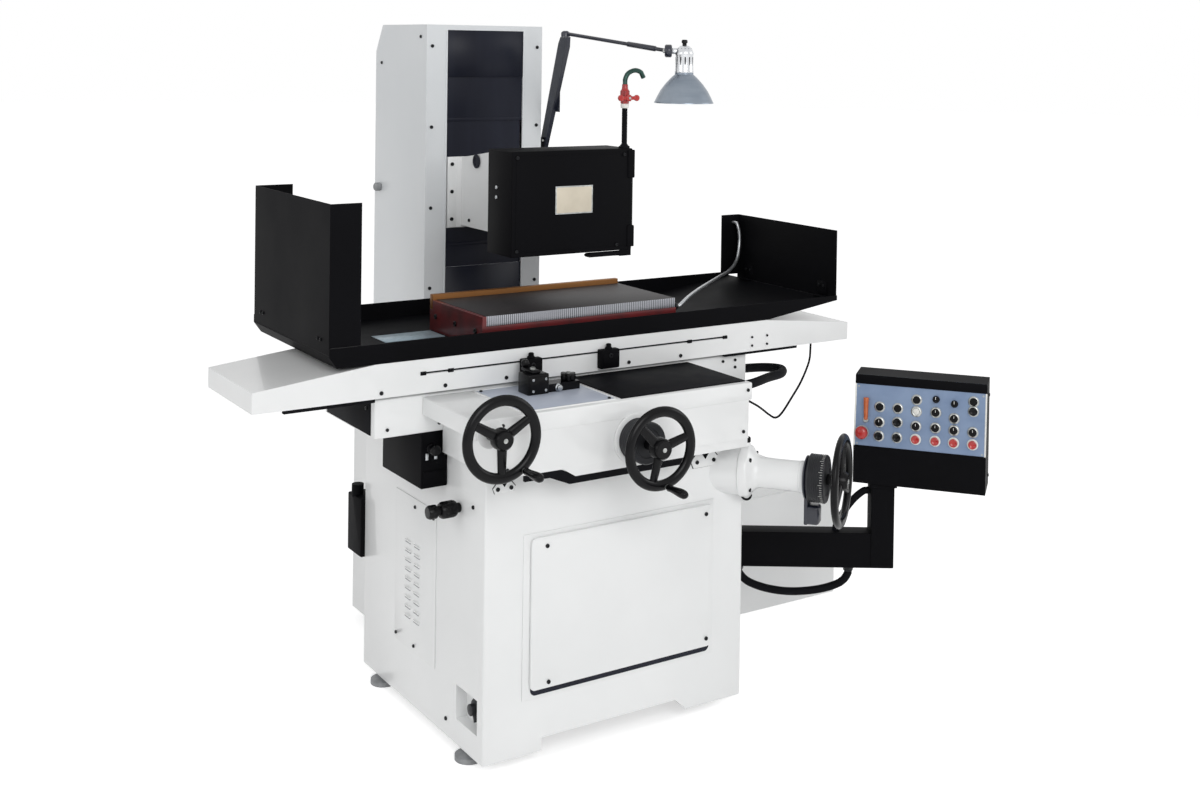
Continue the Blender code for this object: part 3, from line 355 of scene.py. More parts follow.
def soften(shape, edges, width, steps=2, **options):
    """Rounds some edges of a shape, where a width is given."""
    if width:
        bmesh.ops.bevel(shape, geom=edges, offset=width, segments=steps, profile=0.5, affect="EDGES",
                        material=-1, **options)


def level(shape):
    """The edges of a shape that lie level, such as the rims of a bar."""
    return [e for e in shape.edges if abs(e.verts[0].co.z - e.verts[1].co.z) < 1e-6]


def spun(shape, geom, sides):
    """A line spun about Z into a closed skin."""
    bmesh.ops.spin(shape, geom=geom, cent=(0, 0, 0), axis=(0, 0, 1), angle=math.tau, steps=sides,
                   use_merge=True)
    bmesh.ops.remove_doubles(shape, verts=shape.verts, dist=0.00001)
    return shape


def axes(x, y, z):
    """The turn that lays a shape's own X, Y and Z along three directions."""
    return Matrix((x, y, z)).transposed().to_4x4()


def slab(low, high, edge=0.0, steps=2):
    """A block between two corners with rounded edges."""
    shape = bmesh.new()
    bmesh.ops.create_cube(shape, size=1)
    low, high = Vector(low), Vector(high)
    bmesh.ops.scale(shape, vec=high - low, verts=shape.verts)
    bmesh.ops.translate(shape, vec=(low + high) / 2, verts=shape.verts)
    soften(shape, shape.edges[:], edge, steps)
    return shape


def block(piece, low, high, edge=0.0, slot=0, at=(0, 0, 0), along=None, turn=None, steps=2):
    """Adds a block between two corners to a piece."""
    place(piece, slab(low, high, edge, steps), slot, at, along, turn)


def turned(profile, sides):
    """A profile of (radius, height) points spun about Z, closed on the axis unless it is a ring."""
    if profile[0] != profile[-1]:
        profile = [(0, profile[0][1]), *profile, (0, profile[-1][1])]
    shape = bmesh.new()
    profile = [point for point, last in zip(profile, [None, *profile]) if point != last]
    points = [shape.verts.new((radius, 0, height)) for radius, height in profile]
    lines = [shape.edges.new(pair) for pair in zip(points, points[1:])]
    return spun(shape, points + lines, sides)


def lathe(piece, profile, sides, slot=0, at=(0, 0, 0), along=None, turn=None):
    """Adds a turned shape to a piece."""
    place(piece, turned(profile, sides), slot, at, along, turn)


def rod(radius, length, edge=0.0, sides=24, tip=None):
    """A bar standing on its origin, its rims rounded."""
    shape = bmesh.new()
    bmesh.ops.create_cone(shape, cap_ends=True, segments=sides, radius1=radius,
                          radius2=radius if tip is None else tip, depth=length)
    bmesh.ops.translate(shape, vec=(0, 0, length / 2), verts=shape.verts)
    soften(shape, level(shape), edge)
    return shape


def torus(radius, tube, sides=48, ring=12, squash=1.0):
    """A wheel's rim about Z."""
    shape = bmesh.new()
    bmesh.ops.create_circle(shape, segments=ring, radius=tube)
    bmesh.ops.rotate(shape, cent=(0, 0, 0), matrix=Matrix.Rotation(math.pi / 2, 3, "X"), verts=shape.verts)
    bmesh.ops.scale(shape, vec=(1, 1, squash), verts=shape.verts)
    bmesh.ops.translate(shape, vec=(radius, 0, 0), verts=shape.verts)
    return spun(shape, shape.verts[:] + shape.edges[:], sides)


def plate(outline, thickness, edge=0.0):
    """A flat outline in XY given thickness up Z."""
    shape = bmesh.new()
    face = shape.faces.new([shape.verts.new((x, y, 0)) for x, y in outline])
    grown = bmesh.ops.extrude_face_region(shape, geom=[face])["geom"]
    top = [each for each in grown if isinstance(each, bmesh.types.BMVert)]
    bmesh.ops.translate(shape, vec=(0, 0, thickness), verts=top)
    soften(shape, shape.edges[:], edge)
    return shape


def rounded(x0, y0, x1, y1, radius, steps=6):
    """The outline of a rectangle with round corners."""
    outline = []
    for x, y, start in ((x1, y1, 0), (x0, y1, 90), (x0, y0, 180), (x1, y0, 270)):
        inward = Vector((1 if x == x0 else -1, 1 if y == y0 else -1)) * radius
        for step in range(steps + 1):
            angle = math.radians(start + 90 * step / steps)
            outline.append((x + inward.x + radius * math.cos(angle), y + inward.y + radius * math.sin(angle)))
    return outline


ON_FRONT = Matrix(((1, 0, 0, 0), (0, 0, -1, 0), (0, 1, 0, 0), (0, 0, 0, 1)))


def rows(firsts, seconds):
    """Every place of a grid, one row after another."""
    return [(first, second) for first in firsts for second in seconds]


def copied(node):
    """A CAD node's shape, merged and with its flat faces made whole."""
    shape = bmesh.new()
    shape.from_mesh(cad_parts[node].data)
    bmesh.ops.remove_doubles(shape, verts=shape.verts, dist=0.00002)
    bmesh.ops.dissolve_limit(shape, angle_limit=0.01, verts=shape.verts, edges=shape.edges)
    bmesh.ops.translate(shape, vec=-AT, verts=shape.verts)
    return shape


def started(node):
    """A new piece that begins as a CAD node's shape."""
    piece = bmesh.new()
    place(piece, copied(node))
    return piece


def screw(piece, at, along=FORWARD, radius=0.006, slot=0, height=0.0035):
    """A socket screw's head with its hexagon hole."""
    lathe(piece, [(radius * 0.5, height * 0.35), (radius * 0.5, height), (radius * 0.85, height),
                  (radius, height * 0.75), (radius, -0.001)], 18, slot, at, along)


def linked(name, data):
    """A new object in the scene."""
    made = bpy.data.objects.new(name, data)
    bpy.context.scene.collection.objects.link(made)
    return made


def done(node, piece, finishes, body, slot, edge=0.0, smooth=35.0):
    """Turns a shape into the piece that stands for a node, moved into the frame and riding on its body."""
    bmesh.ops.translate(piece, vec=AT, verts=piece.verts)
    name = node + "_shown"
    mesh = bpy.data.meshes.new(name)
    piece.to_mesh(mesh)
    piece.free()
    for made in finishes:
        mesh.materials.append(made)
    made = linked(name, mesh)
    mesh.shade_smooth()
    mesh.set_sharp_from_angle(angle=math.radians(smooth))
    if edge:
        bevel = made.modifiers.new("Bevel", "BEVEL")
        bevel.width = edge
        bevel.segments = 2
        bevel.limit_method = "ANGLE"
        bevel.angle_limit = math.radians(35)
        bevel.harden_normals = True
    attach(made, body)
    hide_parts(node)
    return made


def dressed(node, finishes, body, slot, edge=0.0015, extra=None):
    """A CAD node with rounded edges and its finish, and what an extra step adds to it."""
    shape = started(node)
    if extra:
        extra(shape)
    return done(node, shape, finishes, body, slot, edge)


def recoat(node, made):
    """Gives a CAD node that stays its finish."""
    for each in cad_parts[node].material_slots:
        each.material = made


def cord(name, points, radius, material, body, replaces, sides):
    """A hose or cable as a smooth round curve with filled ends."""
    curve = bpy.data.curves.new(name, "CURVE")
    curve.dimensions = "3D"
    curve.bevel_depth = radius
    curve.bevel_resolution = sides
    curve.use_fill_caps = True
    curve.materials.append(material)
    spline = curve.splines.new("POLY")
    spline.points.add(len(points) - 1)
    for knot, point in zip(spline.points, points):
        knot.co = (*(Vector(point) + AT), 1)
    spline.use_smooth = True
    made = linked(name, curve)
    if body:
        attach(made, body)
    if replaces:
        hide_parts(*replaces)
    return made


def route(points, step=0.012):
    """Points on a smooth curve through a hose's own points, its end legs straight."""
    knots = [Vector(p) for p in points]
    out = [knots[0]]
    for a, b, c, d in zip(knots, knots[1:], knots[2:], knots[3:]):
        count = max(2, round((c - b).length / step))
        for i in range(count):
            t = i / count
            bend = (2 * a - 5 * b + 4 * c - d) * t * t
            out.append(0.5 * (2 * b + (c - a) * t + bend + (3 * b - a - 3 * c + d) * t ** 3))
    return out + knots[-2:]


# ---- the stage -------------------------------------------------------------------------
LENS = 43.996
SHIFT = -0.27597
EYE = Vector((-2.05155, -3.06572, 1.75693))
HEADING, PITCH, ROLL = (math.radians(angle) for angle in (-32.7154, -0.8594, 0.7716))
FLOOR_LIFT = 0.56
SKY_LIGHT, SKY_SEEN = 0.49, 1.0  # what the sky gives, and how bright it is where it is seen
LAMPS = (("front_soft_box", (-1.2, -4.6, 3.2), (0, 0, 0.8), 2.6, 104),
         ("left_soft_box", (-4.4, -0.4, 2.6), (0, 0.3, 0.9), 2.4, 24),
         ("right_soft_box", (4.4, -2.0, 2.8), (0, 0.3, 0.9), 2.0, 30))


def straight_or_mirrored(tree):
    """1 for what the camera sees directly, in a gloss or through glass, and 0 for the rest."""
    path = add(tree, "ShaderNodeLightPath").outputs
    mirrored = add(tree, "ShaderNodeMath", links={0: path["Is Glossy Ray"], 1: path["Is Transmission Ray"]},
                   operation="MAXIMUM").outputs[0]
    return add(tree, "ShaderNodeMath", links={0: path["Is Camera Ray"], 1: mirrored},
               operation="MAXIMUM").outputs[0]


def paper(name, colour, lift):
    """Matt seamless paper, lifted towards white where it is seen, in a mirror or glass too."""
    made, tree, face, where = begun(name)
    seen = straight_or_mirrored(tree)
    strength = add(tree, "ShaderNodeMath", {1: lift}, {0: seen}, operation="MULTIPLY").outputs[0]
    fibre = add(tree, "ShaderNodeTexNoise", {"Scale": 40, "Detail": 2}, {"Vector": where}).outputs["Fac"]
    tree.links.new(blend(tree, fibre, linear(colour), linear("#FAFAFA")), face.inputs["Base Color"])
    tree.links.new(strength, face.inputs["Emission Strength"])
    face.inputs["Emission Color"].default_value = (1, 1, 1, 1)
    face.inputs["Roughness"].default_value = 0.9
    return made


def lamp(name, at, aim, size, power):
    """A square soft box that faces a point."""
    light = bpy.data.lights.new(name, "AREA")
    light.size = size
    light.energy = power
    made = linked(name, light)
    made.location = Vector(at) + AT
    made.rotation_euler = (Vector(aim) - Vector(at)).to_track_quat("-Z", "Y").to_euler()
    return made


def looks():
    """The sizes and colours that can be changed."""
    return bpy.context.scene.grinder_looks


class GrinderLooks(bpy.types.PropertyGroup):
    """Colours and small sizes of the machine's finish."""

    paint: FloatVectorProperty(name="Enamel", description="Colour of the machine's enamel",
                               subtype="COLOR", size=4, min=0, max=1, default=linear("#F1F2F2"))
    sheet: FloatVectorProperty(name="Sheet black", description="Colour of the pan, guards and pendant",
                               subtype="COLOR", size=4, min=0, max=1, default=linear("#0B0B0D"))
    edge: FloatProperty(name="Cast edge", description="Radius on the edges of cast pieces", unit="LENGTH",
                        min=0, max=0.01, default=0.004)
    fold: FloatProperty(name="Sheet edge", description="Radius on the edges of folded sheet", unit="LENGTH",
                        min=0, max=0.002, default=0.0008)
    screw: FloatProperty(name="Screw head", description="Radius of the cover screws' heads", unit="LENGTH",
                         min=0.002, max=0.012, default=0.006)
    studio: FloatProperty(name="Studio light", description="Share of the studio lamps' power",
                          subtype="FACTOR", min=0, max=2, default=1.0)


class GRINDER_OT_stage(bpy.types.Operator):
    """Camera, floor and studio light"""

    bl_idname = "grinder.stage"
    bl_label = "Stage"

    def execute(self, context):
        forward = Vector((-math.sin(HEADING) * math.cos(PITCH), math.cos(HEADING) * math.cos(PITCH),
                          math.sin(PITCH)))
        flat = Vector((math.cos(HEADING), math.sin(HEADING), 0))
        above = flat.cross(forward)
        right = flat * math.cos(ROLL) + above * math.sin(ROLL)
        top = above * math.cos(ROLL) - flat * math.sin(ROLL)
        data = bpy.data.cameras.new("camera")
        data.lens = LENS
        data.shift_y = SHIFT
        data.clip_end = 200
        camera = linked("camera", data)
        camera.matrix_world = Matrix.Translation(EYE + AT) @ axes(right, top, -forward)
        context.scene.camera = camera
        context.scene.view_settings.view_transform = "Standard"
        shape = bmesh.new()
        bmesh.ops.create_circle(shape, cap_ends=True, segments=64, radius=40)
        mesh = bpy.data.meshes.new("floor")
        shape.to_mesh(mesh)
        shape.free()
        mesh.materials.append(paper("seamless_white_paper", "#F4F4F4", FLOOR_LIFT))
        linked("floor", mesh)
        world = bpy.data.worlds.new("studio")
        context.scene.world = world
        world.use_nodes = True
        tree = world.node_tree
        seen = straight_or_mirrored(tree)
        strength = add(tree, "ShaderNodeMapRange", {"To Min": SKY_LIGHT, "To Max": SKY_SEEN}, {"Value": seen})
        sky = tree.nodes["Background"]
        sky.inputs["Color"].default_value = (1, 1, 1, 1)
        tree.links.new(strength.outputs[0], sky.inputs["Strength"])
        for name, at, aim, size, power in LAMPS:
            lamp(name, at, aim, size, power * looks().studio)
        return {"FINISHED"}


# ---- base, column and tank -------------------------------------------------------------
BACK_STEP = 0.0028  # the cover's back stands in by this, for the plate and the screws on it
BASE_HALF = 0.390  # half the base's width


class GRINDER_OT_base(bpy.types.Operator):
    """Base casting with its feet, drain, brackets, front plate and louvres"""

    bl_idname = "grinder.base"
    bl_label = "Base"

    def execute(self, context):
        shape = started("base_casting")
        for face in shape.faces:
            middle = face.calc_center_median()
            if middle.z < 0.0287:
                face.material_index = 1
            elif middle.x > BASE_HALF + 0.004 and 0.255 < middle.z < 0.445:
                face.material_index = 2
        for x, y in rows((-0.365, 0.365), (0.115, 0.620)):
            place(shape, torus(0.030, 0.004, 36, 8, 0.6), 1, (x, y, 0.0115))
        lathe(shape, [(0.024, 0), (0.026, 0.004), (0.022, 0.010), (0.014, 0.012), (0.014, 0.024),
                      (0, 0.026)], 24, 3, (-BASE_HALF + 0.030, 0.078, 0.138), (-1, 0, 0))
        place(shape, rod(0.006, 0.030, 0.001), 3, (-BASE_HALF + 0.018, 0.078, 0.138), (0, -0.4, -1))
        bracket = [(0, 0.004), (0.020, 0.026), (0.070, 0.026), (0.090, 0.004), (0.082, -0.014),
                   (0.008, -0.014)]
        for x0, z0, share in ((0.215, 0.675, 1.0), (-0.371, 0.694, 0.68)):
            outline = [(x * share, z * share) for x, z in reversed(bracket)]
            place(shape, plate(outline, 0.003, 0.0006), 4, (x0, 0, z0), turn=ON_FRONT)
            # A black plate a little larger than the bracket shows as a black outline along its top: painted
            # shadow above it.
            rim = [(x * 1.05 - 0.0022 * share, z * 1.12 + 0.0008) for x, z in outline]
            place(shape, plate(rim, 0.0012), 2, (x0, 0, z0), turn=ON_FRONT)
            for dx in (0.018, 0.072):
                screw(shape, (x0 + dx * share, -0.003, z0 + 0.001), radius=0.0052, slot=5)
            # Black V notch at the bracket's top: painted shade in the way's groove.
            gap = [(0.030, 0.026), (0.060, 0.026), (0.045, 0.006)]
            place(shape, plate([(x * share, z * share) for x, z in reversed(gap)], 0.0008), 2,
                  (x0, -0.003, z0), turn=ON_FRONT)
        for at in ((-BASE_HALF, 0.192, 0.075), (-BASE_HALF, 0.060, 0.640)):
            screw(shape, at, (-1, 0, 0), 0.005, 5)
        done("base_casting", shape,
             [enamel(), foot_iron(), black_paint(), dark_iron(), enamel(), screw_steel()],
             "base", "enamel", 0.0018)
        shape = bmesh.new()
        low, high = spot("front_cover_plate")
        gasket_shadow_y = -0.0055
        block(shape, (low.x - 0.018, -0.0030, low.z - 0.024), (high.x + 0.012, -0.0004, high.z + 0.009),
              0.0012)
        place(shape, plate(rounded(low.x, low.z, high.x, high.z, 0.013), gasket_shadow_y - low.y, 0.0025), 0,
              (0, gasket_shadow_y, 0), turn=ON_FRONT)
        # Navy strip reaching 15 mm below the cover plate: painted shadow under the plate, drawn as a gasket
        # behind it.
        place(shape, plate(rounded(low.x + 0.005, low.z - 0.0150, high.x - 0.001, high.z - 0.01, 0.013),
                           -0.0025 - gasket_shadow_y, 0), 1, (0, -0.0025, 0), turn=ON_FRONT)
        for x, z in ((-0.225, 0.540), (0.257, 0.540), (0.262, 0.212), (-0.217, 0.205)):
            screw(shape, (x, low.y, z), radius=0.0052, slot=2)
        done("front_cover_plate", shape, [enamel(), navy_sheet(), screw_steel()], "base", "enamel")
        shape = bmesh.new()
        low, high = spot("louvre_panel")
        block(shape, low, high, 0.0008)
        for row in range(9):
            for middle in (0.362, 0.414):
                z = 0.262 + 0.0245 * row
                wedge = turned([(0, -0.017), (0.0055, -0.015), (0.0055, 0.015), (0, 0.017)], 14)
                bmesh.ops.bisect_plane(wedge, geom=wedge.verts[:] + wedge.edges[:] + wedge.faces[:],
                                       plane_co=(0, 0, 0), plane_no=(0, 1, 0), clear_outer=True)
                bmesh.ops.contextual_create(wedge, geom=[e for e in wedge.edges if e.is_boundary])
                place(shape, wedge, 0, (low.x + 0.0008, middle, z), (0, 1, 0))
                # Grey slab under each louvre, in the feet's cast-iron finish: painted shade in the louvre's
                # opening.
                block(shape, (low.x - 0.0022, middle - 0.0145, z - 0.0070),
                      (low.x + 0.001, middle + 0.0145, z - 0.0030), 0, 1)
        for y, z in ((0.376, 0.555), (0.376, 0.192), (0.268, 0.555), (0.484, 0.192)):
            screw(shape, (low.x, y, z), (-1, 0, 0), 0.0045, 2)
        done("louvre_panel", shape, [enamel(), foot_iron(), screw_steel()], "base", "enamel")
        return {"FINISHED"}


class GRINDER_OT_column(bpy.types.Operator):
    """Column cover with its dark plates, its screws and the sliding way plates"""

    bl_idname = "grinder.column"
    bl_label = "Column"

    def execute(self, context):
        low, high = spot("column_cover")
        front = low.y
        inner = 0.126
        shape = started("column_cover")
        for point in shape.verts:
            point.co.y = min(point.co.y, high.y - BACK_STEP)
        for z0, z1 in ((0.775, 1.1102), (1.6638, 1.800)):
            block(shape, (-inner, front - 0.0006, z0), (inner, front + 0.0012, z1), 0.0004, 1)
        for side in (-1, 1):
            x0, x1 = sorted((side * inner, side * (inner + 0.0035)))
            block(shape, (x0, front - 0.0035, 0.775), (x1, front + 0.001, 1.8005), 0.001)
            for z in (1.753, 1.519, 1.285, 1.053, 0.820):
                screw(shape, (side * 0.1745, front, z), radius=looks().screw * 0.85, slot=2)
            for y, z in ((0.790, 1.780), (1.060, 1.700), (0.790, 0.780), (1.060, 0.780)):
                screw(shape, (side * high.x, y, z), (side, 0, 0), looks().screw * 0.8, 2)
        block(shape, (-0.168, high.y - BACK_STEP - 0.001, 0.850), (0.168, high.y - 0.0012, 1.650), 0.0005)
        for x, z in rows((-0.165, 0.165), (0.870, 1.250, 1.630)):
            screw(shape, (x * 0.93, high.y - 0.0014, z), (0, 1, 0), looks().screw * 0.8, 2, 0.0012)
        lathe(shape, [(0.011, 0), (0.013, 0.004), (0.013, 0.016), (0.010, 0.020), (0, 0.021)], 24, 3,
              (-high.x, 1.062, 1.321), (-1, 0, 0))
        done("column_cover", shape, [column_enamel_painted_shade(), navy_sheet(), screw_steel(), foot_iron()], "base",
             "enamel", looks().fold)
        recoat("column_casting", dark_iron())
        recoat("elevation_screw", bright_steel())
        for node, body in (("way_plate_upper", "upper_plate"), ("way_plate_lower", "lower_plate")):
            low, high = spot(node)
            shape = bmesh.new()
            block(shape, low, high, 0.0005)
            for z in (low.z + 0.006, high.z - 0.006):
                block(shape, (low.x + 0.010, low.y - 0.0006, z - 0.004),
                      (high.x - 0.010, low.y + 0.0006, z + 0.004), 0.0004)
            done(node, shape, [navy_sheet()], body, "navy_plate")
        return {"FINISHED"}


class GRINDER_OT_tank(bpy.types.Operator):
    """Coolant tank with its lid, the box behind the base and the wall knob"""

    bl_idname = "grinder.tank"
    bl_label = "Tank"

    def execute(self, context):
        low, high = spot("coolant_tank")
        low.x = 0.430
        shape = started("coolant_tank")
        block(shape, (low.x + 0.010, low.y + 0.010, high.z - 0.001),
              (high.x - 0.010, high.y - 0.010, high.z + 0.003), 0.001)
        across = (low.x + 0.030, (low.x + high.x) / 2, high.x - 0.030)
        for x, y in rows(across, (low.y + 0.028, high.y - 0.028)):
            screw(shape, (x, y, high.z + 0.003), (0, 0, 1), 0.006, 1)
        lathe(shape, [(0.034, 0), (0.034, 0.010), (0.030, 0.016), (0.012, 0.017), (0.012, 0.022),
                      (0, 0.023)], 32, 2, (0.620, 0.880, high.z + 0.003))
        handle = bmesh.new()
        place(handle, rod(0.005, 0.090, 0.001), 0, (0.045, 0, -0.045), (-1, 0, 0))
        for x in (-0.040, 0.040):
            place(handle, rod(0.005, 0.030, 0.001), 0, (x, 0.030, -0.045), (0, -1, 0))
        for x in (0.640, 0.960):
            place(shape, handle.copy(), 1, (x, low.y - 0.030, 0.250))
        handle.free()
        done("coolant_tank", shape, [enamel(), screw_steel(), phenolic()], "base", "enamel", 0.0015)
        dressed("rear_box", [black_paint()], "base", "black_sheet", 0.0015)
        profile = [(0.010, 0), (0.012, 0.002), (0.012, 0.012), (0.018, 0.0135), (0.020, 0.017),
                   (0.020, 0.050), (0.017, 0.055), (0.012, 0.056), (0.012, 0.064), (0.0165, 0.066),
                   (0.017, 0.069), (0.017, 0.083), (0.014, 0.0885), (0, 0.089)]
        shape = bmesh.new()
        at = Vector((-0.3903, 0.131, 0.621))
        lathe(shape, profile, 32, 0, at, (-1, 0, 0))
        for step in range(18):
            angle = math.tau * step / 18
            out = Vector((0, math.cos(angle), math.sin(angle)))
            block(shape, (-0.0008, -0.0009, 0.020), (0.0008, 0.0009, 0.047), 0.0003, 0, at + out * 0.0199,
                  (-1, 0, 0))
        done("wall_knob", shape, [phenolic()], "wall_knob", "rubber")
        return {"FINISHED"}


# ---- head, guard, wheel and coolant line -----------------------------------------------
class GRINDER_OT_head(bpy.types.Operator):
    """Wheel head with its slide, the plates fixed to it, the spindle and the wheel"""

    bl_idname = "grinder.head"
    bl_label = "Head"

    def execute(self, context):
        slide = 0.752
        shape = started("head_casting")
        for face in shape.faces:
            middle = face.calc_center_median()
            if middle.y > slide + 0.004 and (middle.z > 1.434 or middle.z < 1.222):
                face.material_index = 1
            elif middle.y < slide - 0.003 and abs(middle.x) < 0.073 and middle.z < 1.232:
                face.material_index = 1
        block(shape, (-0.1213, slide - 0.0018, 1.2250), (-0.092, slide + 0.001, 1.4300), 0.001)
        block(shape, (0.092, slide - 0.0018, 1.2250), (0.1213, slide + 0.001, 1.4300), 0.001)
        for x, z in rows((-0.107, 0.107), (1.250, 1.330, 1.410)):
            screw(shape, (x, slide - 0.0018, z), radius=0.0055, slot=2)
        lathe(shape, [(0.016, 0), (0.020, 0.002), (0.020, 0.005), (0.014, 0.007), (0.010, 0.003)], 24, 1,
              (-0.0750, 0.655, 1.424), (-1, 0, 0))
        for y in (0.400, 0.560, 0.700):
            screw(shape, (-0.0750, y, 1.250), (-1, 0, 0), 0.005, 2)
            screw(shape, (0.0750, y, 1.250), (1, 0, 0), 0.005, 2)
        done("head_casting", shape, [enamel(), navy_sheet(), screw_steel()], "head", "enamel", 0.0015)
        recoat("spindle", bright_steel())
        recoat("grinding_wheel", abrasive())
        return {"FINISHED"}


class GRINDER_OT_guard(bpy.types.Operator):
    """Wheel guard with its blank plate and hinges, and the coolant line with its valve lever"""

    bl_idname = "grinder.guard"
    bl_label = "Wheel guard"

    def execute(self, context):
        low, high = spot("wheel_guard")
        low.z = 1.210
        shape = started("wheel_guard")
        block(shape, (low.x + 0.012, low.y - 0.0012, low.z + 0.012),
              (high.x - 0.014, low.y + 0.001, high.z - 0.012), 0.0010)
        block(shape, (-0.075, low.y - 0.0026, 1.316), (0.040, low.y - 0.0008, 1.390), 0.0006, 1)
        block(shape, (-0.0715, low.y - 0.0028, 1.3195), (0.0365, low.y - 0.0020, 1.3865), 0.0002, 2)
        for x, z in rows((-0.0722, 0.0372), (1.3190, 1.3870)):
            screw(shape, (x, low.y - 0.0024, z), radius=0.0018, slot=4, height=0.0010)
        for z0, z1 in ((1.404, high.z - 0.004), (low.z + 0.008, 1.276)):
            block(shape, (high.x - 0.016, low.y - 0.004, z0), (high.x + 0.006, low.y + 0.018, z1), 0.003,
                  steps=3)
        place(shape, rod(0.0035, 0.135, 0.0005), 3, (high.x + 0.002, low.y + 0.007, 1.274))
        lathe(shape, [(0.004, 0), (0.004, 0.004), (0.009, 0.005), (0.009, 0.011), (0.006, 0.013),
                      (0, 0.0135)], 20, 3, (high.x - 0.002, low.y + 0.030, 1.297), (1, 0, 0))
        for x, z in ((-0.190, 1.468), (0.140, 1.468), (-0.190, 1.226), (0.118, 1.226)):
            screw(shape, (x, low.y - 0.0010, z), radius=0.0045, slot=3)
        for z in (1.360, 1.386):
            screw(shape, (low.x, 0.300, z), (-1, 0, 0), 0.005, 4, 0.003)
        nozzle = rod(0.0125, 0.110, 0.003, 20, 0.0085)
        bmesh.ops.scale(nozzle, vec=(1, 0.45, 1), verts=nozzle.verts)
        place(shape, nozzle, 0, (0.138, 0.232, low.z - 0.0105), (-1, 0, 0.02))
        done("wheel_guard", shape, [black_paint(), zinc(), blank_plate(), screw_steel(), bright_steel()],
             "head", "black_sheet", 0.0020)
        at = Vector((0.150, 0.235, high.z + GAP))
        shape = bmesh.new()
        lathe(shape, [(0.015, 0), (0.015, 0.0045), (0.012, 0.006), (0.009, 0.010)], 24, 0, at)
        hose = [(0, 0.006), (0.008, 0.006)]
        for step in range(24):
            z = 0.012 + 0.0042 * step
            hose += [(0.0080, z), (0.0071, z + 0.0021)]
        lathe(shape, hose + [(0.008, 0.112), (0, 0.112)], 18, 0, at)
        lathe(shape, [(0.0105, 0.108), (0.0112, 0.110), (0.0112, 0.118), (0.0095, 0.120)], 20, 1, at)
        place(shape, rod(0.0115, 0.014, 0.001, 6), 2, at + UP * 0.120)
        lathe(shape, [(0.009, 0.130), (0.0128, 0.134), (0.0128, 0.154), (0.009, 0.159), (0.008, 0.166),
                      (0.008, 0.172)], 24, 2, at)
        place(shape, rod(0.0075, 0.0125, 0.001), 2, at + Vector((0, 0, 0.1355)), (0, -1, 0))
        done("coolant_line", shape, [black_rubber(), white_plastic(), red_body()], "head", "rubber")
        hook = [(0, 0, 0.165), (0, 0, 0.184), (0.010, 0, 0.202), (0.032, 0, 0.210), (0.052, 0, 0.204),
                (0.060, 0, 0.190)]
        cord("coolant_outlet", [Vector(p) + at for p in route(hook, 0.003)], 0.0065, hook_green(), "head",
             (), 4)
        shape = bmesh.new()
        at = Vector((0.150, 0.222, 1.620))
        lathe(shape, [(0.0095, 0), (0.0100, 0.002), (0.0100, 0.009), (0.0070, 0.011)], 6, 0,
              at + Vector((0, -0.0004, 0)), (0, -1, 0))
        for side in (-1, 1):
            block(shape, (0, -0.009, -0.005), (side * 0.030, -0.004, 0.005), 0.0018, 0, at, steps=3)
            place(shape, rod(0.0085, 0.008, 0.002, 16), 0, at + Vector((side * 0.0255, -0.002, 0)),
                  (0, -1, 0))
        lathe(shape, [(0.004, 0), (0.004, 0.002), (0, 0.003)], 6, 1, at + Vector((0, -0.011, 0)), (0, -1, 0))
        done("valve_lever", shape, [red_plastic(), zinc()], "valve_lever", "red_plastic", 0.0006)
        return {"FINISHED"}


